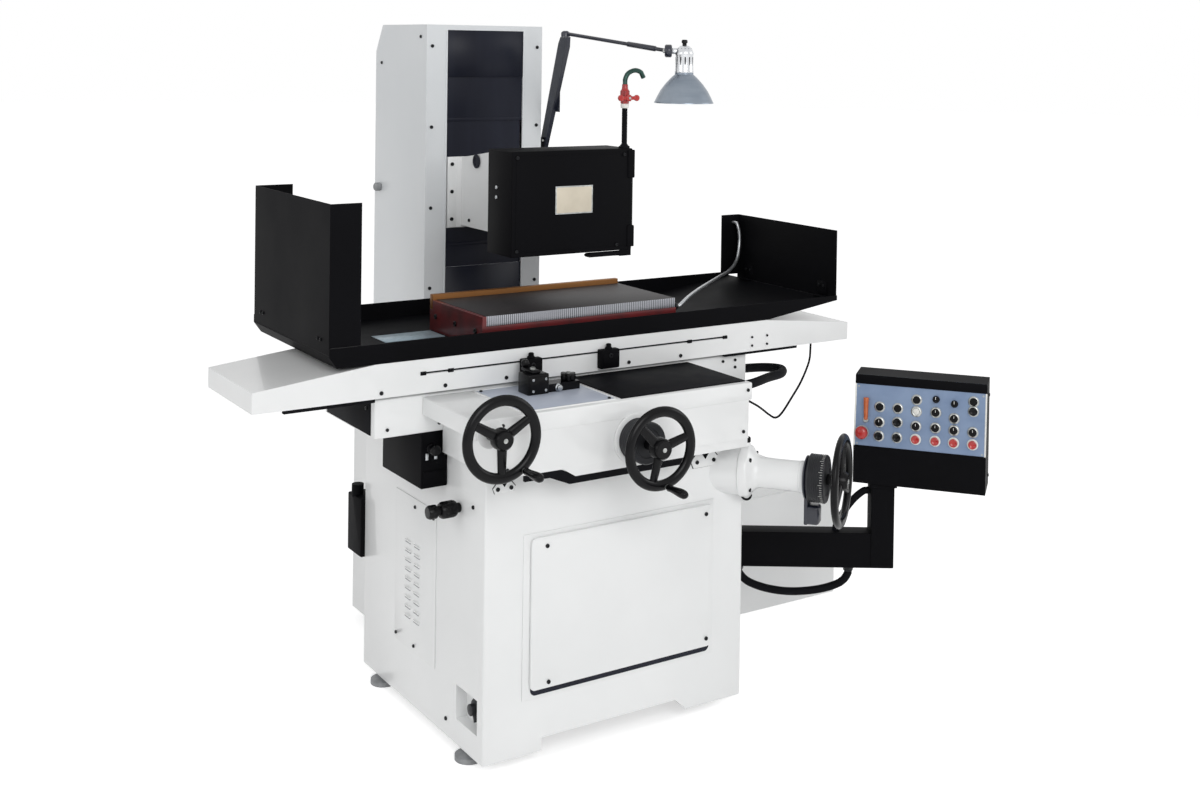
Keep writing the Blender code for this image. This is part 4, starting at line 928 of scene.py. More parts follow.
# ---- saddle, apron and front controls --------------------------------------------------
class GRINDER_OT_saddle(bpy.types.Operator):
    """Saddle, valve box, apron with its mat and tray, and the stroke controls"""

    bl_idname = "grinder.saddle"
    bl_label = "Saddle and apron"

    def execute(self, context):
        low, high = spot("saddle_casting")

        def wipers(shape):
            for x in (low.x, high.x):
                side = -1 if x < 0 else 1
                x0, x1 = sorted((x, x + side * 0.003))
                block(shape, (x0, low.y + 0.02, 0.806), (x1, high.y - 0.02, 0.892), 0.0008, 1)
                for y in (low.y + 0.04, high.y - 0.04):
                    screw(shape, (x1 if side > 0 else x0, y, 0.870), (side, 0, 0), 0.005, 2)
            for x, z in ((0.462, 0.880), (0.505, 0.880), (0.505, 0.860), (-0.560, 0.820), (-0.420, 0.820)):
                screw(shape, (x, low.y, z), radius=0.0042, slot=2)

        dressed("saddle_casting", [enamel(), black_rubber(), screw_steel()], "saddle", "enamel", 0.004,
                wipers)
        low, high = spot("apron")
        top = high.z

        def panels(shape):
            block(shape, (-0.052, -0.072, top - 0.001), (0.335, 0.184, top + 0.0030), 0.0012, 1)
            # Pale blue-grey panel: painted shade on the apron's white top.
            block(shape, (-0.330, -0.066, top - 0.0008), (-0.066, 0.172, top + 0.0012), 0.0006, 2)
            rim = 0.004
            for x0, y0, x1, y1 in ((-0.334, -0.070, -0.062, -0.070 + rim),
                                   (-0.334, 0.172, -0.062, 0.172 + rim),
                                   (-0.334, -0.070, -0.334 + rim, 0.176),
                                   (-0.062 - rim, -0.070, -0.062, 0.176)):
                block(shape, (x0, y0, top - 0.001), (x1, y1, top + 0.0024), 0.0008)
            for x, y in ((-0.320, -0.056), (-0.078, -0.056), (-0.320, 0.160), (-0.078, 0.160)):
                screw(shape, (x, y, top + 0.001), (0, 0, 1), 0.0042, 3)
            lathe(shape, [(0.030, 0), (0.034, 0.002), (0.034, 0.006), (0.028, 0.008)], 36, 0,
                  (-0.430, low.y, 0.859), FORWARD)
            lathe(shape, [(0.058, 0), (0.062, 0.002), (0.062, 0.006), (0.056, 0.008)], 48, 0,
                  (-0.023, low.y + 0.001, 0.794), FORWARD)
            # Stepped black rubber strip along the apron's lower edge: painted shadow under the apron's
            # overhang.
            strip = [(-0.330, 0.748), (-0.330, 0.729), (-0.262, 0.729), (-0.206, 0.706), (0.150, 0.706),
                     (0.150, 0.727), (-0.190, 0.727), (-0.243, 0.748)]
            place(shape, plate(strip, 0.010), 1, (0, low.y + 0.016, 0), turn=ON_FRONT)
            for x, z in ((-0.380, 0.765), (0.318, 0.765), (-0.395, 0.872), (0.330, 0.872)):
                screw(shape, (x, low.y + (0.002 if z < 0.8 else 0), z), radius=0.0045, slot=3)

        dressed("apron", [enamel(), black_rubber(), tray_painted_shade(), screw_steel()], "saddle", "enamel", 0.0035,
                panels)
        low, high = spot("valve_box")

        def valves(shape):
            block(shape, (low.x + 0.006, 0.1975, 0.665), (high.x - 0.004, 0.2015, 0.700), 0.001)
            for x in (-0.448, -0.424):
                block(shape, (x - 0.004, 0.197, 0.728), (x + 0.004, 0.202, 0.745), 0.001, 1)
            lathe(shape, [(0.012, 0), (0.013, 0.003), (0.013, 0.010), (0.010, 0.013), (0.0095, 0.020),
                          (0.0135, 0.024), (0.0135, 0.034), (0.011, 0.037), (0, 0.0375)], 24, 2,
                  (-0.437, 0.205, 0.757), FORWARD)

        # The box's black is partly painted shade: it stands where the recess between the saddle's skirt and
        # the base lies in shadow, and its steel bar and knob are the fittings seen in that recess.
        dressed("valve_box", [black_paint(), bright_steel(), phenolic()], "saddle", "black_sheet", 0.002,
                valves)
        low, high = spot("reversing_block")

        def gate(shape):
            block(shape, (-0.236, 0.0585, 0.897), (-0.184, 0.0625, 0.936), 0.001)
            for x, z in rows((-0.228, -0.192), (0.902, 0.930)):
                screw(shape, (x, 0.0585, z), radius=0.0035, slot=1, height=0.002)
            lathe(shape, [(0.010, 0), (0.010, 0.004), (0.007, 0.007), (0.007, 0.012)], 24, 1,
                  (-0.150, 0.070, 0.902), FORWARD)

        dressed("reversing_block", [phenolic(), bright_steel()], "saddle", "rubber", 0.0015, gate)
        shape = bmesh.new()
        low, high = spot("reversing_lever")
        block(shape, (low.x, low.y, low.z), (high.x, high.y - 0.010, high.z), 0.0028, steps=3)
        lathe(shape, [(0.007, 0), (0.007, 0.004), (0.004, 0.006)], 20, 1, (-0.212, 0.090, high.z))
        lathe(shape, [(0.006, 0), (0.010, 0.004), (0.011, 0.010), (0.008, 0.017), (0, 0.019)], 24, 0,
              (-0.212, high.y - 0.012, high.z - 0.001))
        done("reversing_lever", shape, [phenolic(), zinc()], "reversing_lever", "rubber")
        shape = bmesh.new()
        at = Vector((-0.108, 0.090, 0.9123))
        place(shape, star(0.021, 0.0155, 6, 0.018, 0.003), 0, at)
        lathe(shape, [(0.007, 0.0175), (0.007, 0.0195), (0.004, 0.021)], 24, 1, at)
        done("stroke_knob", shape, [phenolic(), zinc()], "stroke_knob", "rubber", 0, 50)
        return {"FINISHED"}


def star(outer, inner, lobes, height, edge):
    """A star grip with rounded lobes, standing on its origin."""
    outline = []
    for step in range(lobes * 10):
        angle = math.tau * step / (lobes * 10)
        radius = inner + (outer - inner) * (0.5 + 0.5 * math.cos(lobes * angle)) ** 0.7
        outline.append((radius * math.cos(angle), radius * math.sin(angle)))
    shape = plate(outline, height)
    soften(shape, level(shape), edge, 3, clamp_overlap=True)
    return shape


RIM_SWELL = 0.0035  # makes a rim thicker, all of it towards the hub
HUB_FACE = 0.0178  # how far a hub's nose stands out from the wheel's middle
APRON_FRONT = -0.0894
FRONT_RIM, FRONT_TUBE = 0.0925, 0.0095


def outward(side, angle):
    """A direction out from an axle, turned from its side towards up."""
    return side * math.cos(angle) + UP * math.sin(angle)


def handwheel(name, at, along, rim, tube, hub, spokes, back, drum):
    """A dished three-spoke wheel with its hub, and the drum behind it, graduated where it is wide."""
    along = Vector(along)
    shape = bmesh.new()
    place(shape, torus(rim - RIM_SWELL, tube + RIM_SWELL, 96, 20, tube / (tube + RIM_SWELL)), 0, at, along)
    nose = [(0, hub * 0.95), (hub * 0.35, hub * 0.95), (hub * 0.42, hub * 0.82), (hub * 0.78, hub * 0.72),
            (hub, hub * 0.42), (hub * 1.02, -hub * 0.45), (hub * 0.75, -hub * 0.6), (0, -hub * 0.6)]
    lathe(shape, [(r, min(z, HUB_FACE)) for r, z in nose], 40, 0, at, along)
    lathe(shape, [(0.006, 0.0174), (0.0055, 0.0186), (0, 0.0188)], 24, 1, at, along)
    side = UP.cross(along).normalized()
    for angle in spokes:
        out = outward(side, math.radians(angle))
        arm = rod(0.0128, rim - hub * 0.6, 0.0, 20, 0.0100)
        bmesh.ops.scale(arm, vec=(1, 0.62, 1), verts=arm.verts)
        bmesh.ops.transform(arm, matrix=axes(along.cross(out).normalized(), along, out), verts=arm.verts)
        place(shape, arm, 0, Vector(at) + out * hub * 0.6)
    radius, length = drum
    dialled = radius > 0.02
    end = length - back if dialled else -back
    sleeve = [(0.0142, -0.010), (0.0142, end)]
    lathe(shape, sleeve, 32, 0, at, along)
    if dialled:
        start = -back
        rings = [(0, start), (radius, start)]
        for step in range(6):
            z = start + 0.004 + step * length * 0.12
            rings += [(radius, z), (radius - 0.0012, z + 0.0012), (radius - 0.0012, z + 0.0030),
                      (radius, z + 0.0042)]
        rings += [(radius, start + length - 0.003), (radius - 0.003, start + length),
                  (radius * 0.70, start + length), (radius * 0.66, start + length - 0.003),
                  (0, start + length - 0.003)]
        lathe(shape, rings, 64, 2, at, along)
        for step in range(60):
            out = outward(side, math.tau * step / 60)
            long = 0.010 if step % 5 == 0 else 0.006
            mark = slab((-0.0004, -0.0004, 0), (0.0004, 0.0003, long))
            bmesh.ops.transform(mark, matrix=axes(along.cross(out).normalized(), out, along),
                                verts=mark.verts)
            place(shape, mark, 3, Vector(at) + out * radius + along * (start + length - 0.004 - long))
    done(name, shape, [phenolic(), zinc(), dark_iron(), white_oxide()], name, "rubber", 0, 40)


def grip(name, centre, rim, tube, angle):
    """The revolving grip on a wheel's rim, swelling towards its end."""
    a = math.radians(angle)
    at = Vector(centre) + Vector((math.cos(a) * rim, -tube - GAP, math.sin(a) * rim))
    shape = bmesh.new()
    lathe(shape, [(0.0060, 0), (0.0060, 0.007)], 24, 1, at, FORWARD)
    swell = [(0.0072, 0.006), (0.0086, 0.010), (0.0078, 0.018), (0.0086, 0.032), (0.0104, 0.050),
             (0.0110, 0.062), (0.0104, 0.071), (0.0080, 0.077), (0.0040, 0.0798), (0, 0.080)]
    lathe(shape, swell, 32, 0, at, FORWARD)
    done(name, shape, [phenolic(), zinc()], name, "rubber", 0, 60)


class GRINDER_OT_handwheels(bpy.types.Operator):
    """Front handwheels with their grips"""

    bl_idname = "grinder.handwheels"
    bl_label = "Front handwheels"

    def execute(self, context):
        for name, at, hub, spokes, drum, turned_to in (
                ("traverse", (-0.430, -0.150, 0.859), 0.025, (30, 150, 270), (0.016, 0.030), -55),
                ("cross", (-0.023, -0.200, 0.794), 0.026, (15, 135, 255), (0.052, 0.060), -82)):
            handwheel(name + "_wheel", at, FORWARD, FRONT_RIM, FRONT_TUBE, hub, spokes,
                      APRON_FRONT - GAP - at[1], drum)
            grip(name + "_grip", at, FRONT_RIM, FRONT_TUBE, turned_to)
        return {"FINISHED"}


# ---- table, pan, guards and chuck ------------------------------------------------------
class GRINDER_OT_table(bpy.types.Operator):
    """Table with its slot, screws, dogs and wiper strips"""

    bl_idname = "grinder.table"
    bl_label = "Table"

    def execute(self, context):
        low, high = spot("table")
        face = low.y

        def fittings(shape):
            for x, z in ((-0.586, 0.917), (-0.415, 0.917), (-0.243, 0.917), (0.130, 0.917), (0.300, 0.917)):
                screw(shape, (x, face, z), radius=0.0050, slot=2)
            for x, z in ((0.548, 0.944), (0.602, 0.944), (0.548, 0.920), (0.602, 0.920)):
                screw(shape, (x, face, z), radius=0.0034, slot=2)
            for x in (-0.475, -0.400, 0.330, 0.452):
                block(shape, (x - 0.008, face - 0.002, 0.948), (x + 0.008, face + 0.004, 0.9575), 0.0012, 1)
            # Black strip at the back of the front slot: painted shade in the groove.
            block(shape, (-0.474, face + 0.006, 0.9503), (0.451, face + 0.0085, 0.9557), 0, 1)
            block(shape, (-0.830, face + 0.003, 0.8948), (-0.600, face + 0.016, 0.9042), 0.0015, 1)
            block(shape, (0.455, face + 0.003, 0.8960), (0.717, face + 0.016, 0.9042), 0.0015, 1)
            for y in (0.200, 0.455):
                screw(shape, (high.x, y, 0.930), (1, 0, 0), 0.005, 2)

        dressed("table", [enamel(), black_rubber(), screw_steel()], "table", "enamel", looks().edge * 0.9,
                fittings)
        for name in ("dog_left", "dog_right"):
            low, high = spot(name)

            def dog(shape):
                middle = (low.x + high.x) / 2
                block(shape, (low.x + 0.006, low.y - 0.0015, low.z + 0.006),
                      (high.x - 0.006, low.y + 0.001, high.z - 0.012), 0.001)
                lathe(shape, [(0.010, 0), (0.010, 0.003), (0.007, 0.006), (0.007, 0.012), (0.005, 0.014)],
                      24, 0, (middle, 0.158, high.z))
                screw(shape, (middle, low.y, low.z + 0.034), radius=0.006, slot=1)

            dressed(name, [black_paint(), screw_steel()], "table", "rubber", 0.0015, dog)
        return {"FINISHED"}


class GRINDER_OT_pan(bpy.types.Operator):
    """Splash pan and the upright guards on its ends"""

    bl_idname = "grinder.pan"
    bl_label = "Pan and guards"

    def execute(self, context):
        def bottom(shape):
            block(shape, (-0.480, 0.380, 0.9905), (-0.310, 0.470, 0.9922), 0.0005, 1)
            for x, y in rows((-0.640, -0.500, 0.460, 0.560), (0.205, 0.650)):
                screw(shape, (x, y, 0.9908), (0, 0, 1), 0.006, 2, 0.003)
            for x in (-0.600, -0.200, 0.200, 0.550):
                screw(shape, (x, 0.6895, 1.012), (0, 1, 0), 0.0045, 2, 0.002)

        dressed("splash_pan", [black_paint(), pan_plate(), screw_steel()], "table", "black_sheet", 0.0009,
                bottom)
        for name, side in (("guard_left", -1), ("guard_right", 1)):
            low, high = spot(name)
            outer = low.x if side < 0 else high.x

            def brackets(shape):
                for y in (low.y + 0.060, high.y - 0.060):
                    inner = outer - side * 0.003
                    x0, x1 = sorted((inner, inner - side * 0.020))
                    block(shape, (x0, y - 0.020, low.z), (x1, y + 0.020, low.z + 0.003), 0.001)
                    x0, x1 = sorted((inner, inner - side * 0.003))
                    block(shape, (x0, y - 0.020, low.z), (x1, y + 0.020, low.z + 0.045), 0.001)
                    for dy in (-0.010, 0.010):
                        screw(shape, (inner - side * 0.003, y + dy, low.z + 0.032), (-side, 0, 0), 0.004, 1)
                        screw(shape, (outer, y + dy, low.z + 0.032), (side, 0, 0), 0.004, 1)

            dressed(name, [black_paint(), screw_steel()], "table", "black_sheet", 0.0009, brackets)
        return {"FINISHED"}


class GRINDER_OT_chuck(bpy.types.Operator):
    """Magnetic chuck with its laminated face and stop rail"""

    bl_idname = "grinder.chuck"
    bl_label = "Magnetic chuck"

    def execute(self, context):
        low, high = spot("chuck_body")

        def ends(shape):
            for y in (0.230, 0.343, 0.456):
                screw(shape, (low.x, y, 1.030), (-1, 0, 0), 0.007, 1)
                screw(shape, (high.x, y, 1.020), (1, 0, 0), 0.006, 1)
            for x in (-0.255, 0.255):
                block(shape, (x - 0.020, low.y - 0.004, 0.9885), (x + 0.020, low.y + 0.004, 1.003), 0.002)
            lathe(shape, [(0.011, 0), (0.011, 0.006), (0.008, 0.009), (0.0055, 0.014)], 24, 1,
                  (high.x, 0.205, 1.046), (1, 0, 0))

        dressed("chuck_body", [red_casting(), screw_steel()], "table", "chuck_red", 0.0018, ends)
        low, high = spot("pole_plate")
        shape = bmesh.new()
        block(shape, low, high, 0.0008)
        for face in shape.faces:
            if face.normal.y < -0.5:
                face.material_index = 1
        done("pole_plate", shape, [pole_top(), pole_edge()], "table", "steel")
        low, high = spot("stop_rail")
        shape = bmesh.new()
        block(shape, low, high, 0.0018, steps=3)
        for step in range(6):
            x = low.x + 0.050 + step * 0.099
            lathe(shape, [(0.004, 0), (0.0045, 0.0006)], 20, 1, (x, high.y, high.z - 0.020), (0, 1, 0))
        done("stop_rail", shape, [rail_brass(), screw_steel()], "table", "brass")
        return {"FINISHED"}


class GRINDER_OT_cables(bpy.types.Operator):
    """Hose on the saddle, lead to the table and conduit to the chuck"""

    bl_idname = "grinder.cables"
    bl_label = "Hoses and cables"

    def execute(self, context):
        hose = route([(0.5453, 0.300, 0.822), (0.620, 0.300, 0.822), (0.700, 0.295, 0.818),
                      (0.733, 0.262, 0.816), (0.700, 0.222, 0.814), (0.620, 0.185, 0.818),
                      (0.520, 0.140, 0.820), (0.390, 0.120, 0.820), (0.3453, 0.120, 0.820)])
        piece = cord("bent_hose_shown", hose, 0.013, black_rubber(), "saddle", ("bent_hose",), 6)
        lead = route([(0.793, 0.200, 0.9037), (0.792, 0.200, 0.881), (0.783, 0.195, 0.845),
                      (0.742, 0.180, 0.796), (0.685, 0.155, 0.759), (0.628, 0.130, 0.727),
                      (0.593, 0.115, 0.722), (0.558, 0.100, 0.738), (0.477, 0.060, 0.784),
                      (0.390, 0.050, 0.825), (0.3453, 0.050, 0.825)])
        curve = cord("table_cable_line", lead, 0.003, black_rubber(), None, (), 4)
        mesh = bpy.data.meshes.new_from_object(curve.evaluated_get(context.evaluated_depsgraph_get()))
        bpy.data.objects.remove(curve)
        mesh.name = "table_cable_shown"
        piece = linked("table_cable_shown", mesh)
        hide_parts("table_cable")
        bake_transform(piece)
        conduit = route([(0.3003, 0.205, 1.046), (0.318, 0.205, 1.046), (0.375, 0.240, 1.060),
                         (0.469, 0.310, 1.067), (0.627, 0.430, 1.071), (0.746, 0.530, 1.070),
                         (0.818, 0.588, 1.088), (0.843, 0.608, 1.128), (0.846, 0.612, 1.170),
                         (0.839, 0.618, 1.203), (0.839, 0.6367, 1.203)])
        piece = cord("chuck_cable_shown", conduit, 0.005, conduit_steel(), "table", ("chuck_cable",),
                     5)
        return {"FINISHED"}


# ---- vertical feed, pendant, console and lamp ------------------------------------------
FEED_AT = Vector((0.371, -0.018, 0.640))
FEED_TURN = math.radians(-52)
FEED_DIR = Vector((math.cos(FEED_TURN), math.sin(FEED_TURN), 0))
FEED_SIDE = UP.cross(FEED_DIR)
FEED_REACH, HOUSING, COLLAR = 0.265, 0.170, 0.012  # along the feed's axle
PIVOT = Vector((0.445, 0.245, 0))
ARM_TURN = math.radians(-33.1)
POST_AT = PIVOT + Vector((math.cos(ARM_TURN), math.sin(ARM_TURN), 0)) * 0.5
CONSOLE_TURN = math.radians(-51)


class GRINDER_OT_feed(bpy.types.Operator):
    """Vertical feed housing, its dialled handwheel and the lever behind the dial"""

    bl_idname = "grinder.feed"
    bl_label = "Vertical feed"

    def execute(self, context):
        shape = bmesh.new()
        profile = [(0.066, 0), (0.068, 0.002), (0.068, 0.020), (0.066, 0.024), (0.060, 0.028),
                   (0.048, 0.036), (0.043, 0.043), (0.040, 0.052), (0.0392, 0.100), (0.040, 0.156),
                   (0.0415, 0.158), (0.0415, 0.168), (0.040, 0.170)]
        lathe(shape, profile, 64, 0, FEED_AT, FEED_DIR)
        for step in range(4):
            out = outward(FEED_SIDE, math.radians(45 + 90 * step))
            screw(shape, FEED_AT + out * 0.055 + FEED_DIR * 0.0305, FEED_DIR, 0.0055, 1)
        cup = FEED_AT + UP * 0.064 + FEED_DIR * 0.013
        lathe(shape, [(0.011, 0), (0.007, 0.014)], 24, 0, cup, UP)
        lathe(shape, [(0.0085, 0.012), (0.0095, 0.014), (0.0095, 0.023), (0.007, 0.026)], 24, 2, cup, UP)
        loop = FEED_AT - UP * 0.064 + FEED_DIR * 0.012
        place(shape, torus(0.013, 0.0032, 32, 10), 2, loop, FEED_SIDE)
        done("feed_housing", shape, [enamel(), screw_steel(), phenolic()], "base", "enamel")
        handwheel("feed_wheel", FEED_AT + FEED_DIR * FEED_REACH, FEED_DIR, 0.111, 0.010, 0.024,
                  (90, 210, 330), FEED_REACH - HOUSING - COLLAR - 2 * GAP, (0.062, 0.045))
        shape = bmesh.new()
        flange = FEED_AT + FEED_DIR * (HOUSING + GAP)
        local = bmesh.new()
        block(local, (0.0005, -0.023, -0.1195), (0.0105, 0.023, -0.020), 0.0035, steps=3)
        block(local, (0.002, -0.022, -0.1190), (0.040, 0.022, -0.069), 0.0090, steps=4)
        place(shape, local, 0, flange, turn=Matrix.Rotation(FEED_TURN, 4, "Z"))
        collar = [(0.050, 0), (0.056, 0.002), (0.056, 0.0050), (0.051, 0.0066), (0.044, 0.0068),
                  (0.044, 0.0104), (0.041, 0.0118)]
        lathe(shape, collar, 56, 0, flange, FEED_DIR)
        done("feed_lever", shape, [lamp_blue()], "feed_lever", "rubber", 0, 40)
        return {"FINISHED"}


def moved(shape, at, angle):
    """A shape set in its own turned frame, put in its place on the machine."""
    bmesh.ops.transform(shape, matrix=Matrix.Translation(at) @ Matrix.Rotation(angle, 4, "Z"),
                        verts=shape.verts)
    return shape


class GRINDER_OT_pendant(bpy.types.Operator):
    """Swinging pendant arm with its post and its two conduits"""

    bl_idname = "grinder.pendant"
    bl_label = "Pendant arm"

    def execute(self, context):
        shape = bmesh.new()
        eye = [(0.0204, 0.3004), (0.042, 0.3004), (0.045, 0.3034), (0.045, 0.3966), (0.042, 0.3996),
               (0.0204, 0.3996), (0.0204, 0.3004)]
        lathe(shape, eye, 48)
        block(shape, (0.034, -0.030, 0.301), (0.5315, 0.030, 0.399), 0.003, steps=3)
        block(shape, (0.4675, -0.0325, 0.302), (0.5325, 0.0325, 0.5427), 0.003, steps=3)
        block(shape, (0.462, -0.038, 0.530), (0.538, 0.038, 0.5425), 0.002)
        for x, z in rows((0.4675, 0.5325), (0.325, 0.375)):
            screw(shape, (x, 0, z), (1 if x > 0.5 else -1, 0, 0), 0.006, 1)
        for x in (0.10, 0.41):
            lathe(shape, [(0.017, 0), (0.017, 0.008), (0.014, 0.011), (0.014, 0.016), (0.0115, 0.018)], 8, 1,
                  (x, 0, 0.302), (0, 0, -1))
        done("pendant_arm", moved(shape, PIVOT, ARM_TURN), [black_paint(), screw_steel()], "pendant_arm",
             "black_sheet")
        turn = Matrix.Translation(PIVOT) @ Matrix.Rotation(ARM_TURN, 4, "Z")
        for name, radius, lay, points in (
                ("pendant_conduit", 0.011, "hanging", ((0.10, 0, 0.302), (0.10, 0, 0.278), (0.125, 0, 0.250),
                 (0.18, 0, 0.230), (0.25, 0, 0.222), (0.33, 0, 0.230), (0.388, 0, 0.250), (0.41, 0, 0.278),
                 (0.41, 0, 0.302))),
                ("post_conduit", 0.010, "loose", ((0.372, 0, 0.398), (0.376, 0, 0.415), (0.398, 0, 0.455),
                 (0.425, 0, 0.490), (0.452, 0, 0.512), (0.4677, 0, 0.514)))):
            hose = route([turn @ Vector(p) for p in points])
            piece = cord(name, hose, radius, black_rubber(), "pendant_arm", (), 6)
        return {"FINISHED"}


SLOPE_TOP = Vector((0, -0.020, 0.842))
SLOPE = Vector((0, -0.030, -0.197))
SLOPE_UP = -SLOPE.normalized()
SLOPE_OUT = Vector((1, 0, 0)).cross(SLOPE_UP)


def on_slope(across, down):
    """The frame of a place on the sloping face: X to the right, Y up the face, Z out of it."""
    here = SLOPE_TOP + SLOPE * down + Vector((across, 0, 0))
    return Matrix.Translation(here) @ axes(Vector((1, 0, 0)), SLOPE_UP, SLOPE_OUT)


def on_console(node, shape, *rest):
    """A finished piece that was shaped in the console's own frame."""
    return done(node, moved(shape, POST_AT, CONSOLE_TURN), *rest)


# places on the sloping face: across it in metres, and down it as a share of its height
STOP_AT = (-0.050, 0.80)
BUTTONS = {"button_red_1": (0.098, 0.83), "button_red_2": (0.151, 0.83), "button_red_3": (0.201, 0.83),
           "button_red_4": (0.252, 0.83), "button_black_1": (-0.003, 0.83), "button_black_2": (0.047, 0.83),
           "button_black_3": (0.047, 0.62), "button_black_4": (0.252, 0.38)}
FIXED = ((-0.003, 0.43, "flat"), (-0.003, 0.64, "tall"), (0.047, 0.43, "flat"), (0.098, 0.29, "flat"),
         (0.098, 0.45, "ring"), (0.098, 0.65, "tall"), (0.151, 0.44, "tall"), (0.151, 0.65, "tall"),
         (0.201, 0.50, "tall"), (0.201, 0.66, "tall"), (0.252, 0.25, "flat"), (0.252, 0.665, "tall"))


class GRINDER_OT_console(bpy.types.Operator):
    """Console box with its framed face, bezels and fixed lamps"""

    bl_idname = "grinder.console"
    bl_label = "Console"

    def execute(self, context):
        shape = bmesh.new()
        box = copied("console")
        back = Matrix.Rotation(-CONSOLE_TURN, 4, "Z") @ Matrix.Translation(-POST_AT)
        bmesh.ops.transform(box, matrix=back, verts=box.verts)
        place(shape, box)
        for face in shape.faces:
            height = (face.calc_center_median() - SLOPE_TOP).dot(SLOPE_OUT)
            if face.normal.dot(SLOPE_OUT) > 0.99 and height > -0.001:
                face.material_index = 1
        left, right = -0.073, 0.288
        middle, wide = (left + right) / 2, right - left
        block(shape, (-wide / 2, -0.013, -0.001), (wide / 2, 0.0125, 0.0022), 0.0008,
              turn=on_slope(middle, 0.063))
        block(shape, (-wide / 2, -0.0022, -0.001), (wide / 2, 0.0022, 0.0016), 0.0006,
              turn=on_slope(middle, 0.990))
        for u in (left + 0.0022, right - 0.0022):
            block(shape, (-0.0022, -0.0868, -0.001), (0.0022, 0.0868, 0.0016), 0.0006, 3,
                  turn=on_slope(u, 0.563))
        for u, down in ((left + 0.010, 0.165), (right - 0.010, 0.165), (left + 0.010, 0.955),
                        (right - 0.010, 0.955)):
            lathe(shape, [(0.0028, 0), (0.0026, 0.0012), (0, 0.0014)], 16, 2, turn=on_slope(u, down))
        ring = [(0.0090, -0.0002), (0.0152, -0.0002), (0.0150, 0.0012), (0.0126, 0.0032), (0.0108, 0.0036),
                (0.0092, 0.0030), (0.0090, -0.0002)]
        for name, (u, down) in BUTTONS.items():
            lathe(shape, ring, 32, 3 if "red" in name else 2, turn=on_slope(u, down))
        for u, down, kind in FIXED:
            lathe(shape, ring, 32, 2, turn=on_slope(u, down))
            if kind == "ring":
                lathe(shape, [(0.0090, 0), (0.0085, 0.0035), (0.0045, 0.0045), (0, 0.0030)], 28, 3,
                      turn=on_slope(u, down))
            else:
                tall = 0.012 if kind == "tall" else 0.005
                lathe(shape, [(0.0090, 0), (0.0094, 0.004), (0.0108, 0.0042), (0.0108, tall - 0.001),
                              (0.0095, tall)], 28, 4, turn=on_slope(u, down))
                if kind == "tall":
                    block(shape, (-0.0016, -0.0080, tall), (0.0016, 0.0080, tall + 0.0035), 0.0006, 4,
                          turn=on_slope(u, down))
                    block(shape, (-0.0006, 0.0010, tall + 0.0034), (0.0006, 0.0075, tall + 0.0038), 0, 3,
                          turn=on_slope(u, down))
        lathe(shape, [(0.0076, -0.0002), (0.0195, -0.0002), (0.0190, 0.0016), (0.0076, 0.0022),
                      (0.0076, -0.0002)], 40, 2, turn=on_slope(*STOP_AT))
        for x, z in rows((left, right), (0.575, 0.800)):
            screw(shape, (x, 0.045, z), (1 if x > 0 else -1, 0, 0), 0.0045, 5)
        for x, z in rows((left + 0.030, right - 0.030), (0.570, 0.815)):
            screw(shape, (x, 0.080, z), (0, 1, 0), 0.0045, 5)
        on_console("console", shape,
                   [black_paint(), panel_blue(), zinc(), white_plastic(), phenolic(), screw_steel()],
                   "console", "black_sheet", looks().fold)
        return {"FINISHED"}


class GRINDER_OT_controls(bpy.types.Operator):
    """Buttons, stop button, selectors and lever on the console"""

    bl_idname = "grinder.controls"
    bl_label = "Console controls"

    def execute(self, context):
        cap = [(0.0085, -0.006), (0.0085, 0.0079), (0.0112, 0.0081), (0.0116, 0.0095), (0.0110, 0.0118),
               (0.0092, 0.0124), (0.0080, 0.0114), (0, 0.0112)]
        for name, (u, down) in BUTTONS.items():
            red = "red" in name
            shape = bmesh.new()
            lathe(shape, cap, 32, 0, turn=on_slope(u, down))
            on_console(name, shape, [red_plastic() if red else phenolic()], name,
                       "red_plastic" if red else "black_plastic", 0, 50)
        shape = bmesh.new()
        mushroom = [(0.0070, -0.012), (0.0070, 0.010), (0.0165, 0.0115), (0.0178, 0.014), (0.0178, 0.018),
                    (0.0150, 0.0228), (0.0090, 0.0255), (0, 0.026)]
        lathe(shape, mushroom, 48, 0, turn=on_slope(*STOP_AT))
        on_console("stop_button", shape, [red_plastic()], "stop_button", "red_plastic", 0, 50)
        for name, u, down in (("selector_1", 0.151, 0.26), ("selector_2", 0.201, 0.30)):
            shape = bmesh.new()
            here = on_slope(u, down) @ Matrix.Translation((0, 0, GAP))
            lathe(shape, [(0.0100, 0), (0.0100, 0.005), (0.0088, 0.0075), (0, 0.0085)], 36, 0, turn=here)
            block(shape, (-0.003, -0.0088, 0.004), (0.003, 0.0088, 0.0198), 0.0012, turn=here, steps=3)
            block(shape, (-0.0007, 0.0005, 0.0196), (0.0007, 0.0080, 0.0200), 0, 1, turn=here)
            on_console(name, shape, [phenolic(), white_plastic()], name, "black_plastic", 0, 50)
        shape = bmesh.new()
        here = on_slope(-0.040, 0.62) @ Matrix.Translation((0, 0, GAP))
        lathe(shape, [(0.0080, 0), (0.0080, 0.0065), (0.0070, 0.0080)], 28, 1, turn=here)
        here = here @ Matrix.Translation((0, 0, 0.006)) @ Matrix.Rotation(math.radians(-84), 4, "X")
        place(shape, rod(0.0055, 0.062, 0.0012, 24, 0.0075), 0, turn=here)
        on_console("amber_lever", shape, [amber_plastic(), zinc()], "amber_lever", "amber_plastic", 0, 50)
        return {"FINISHED"}


SOCKET_VENTS = 12


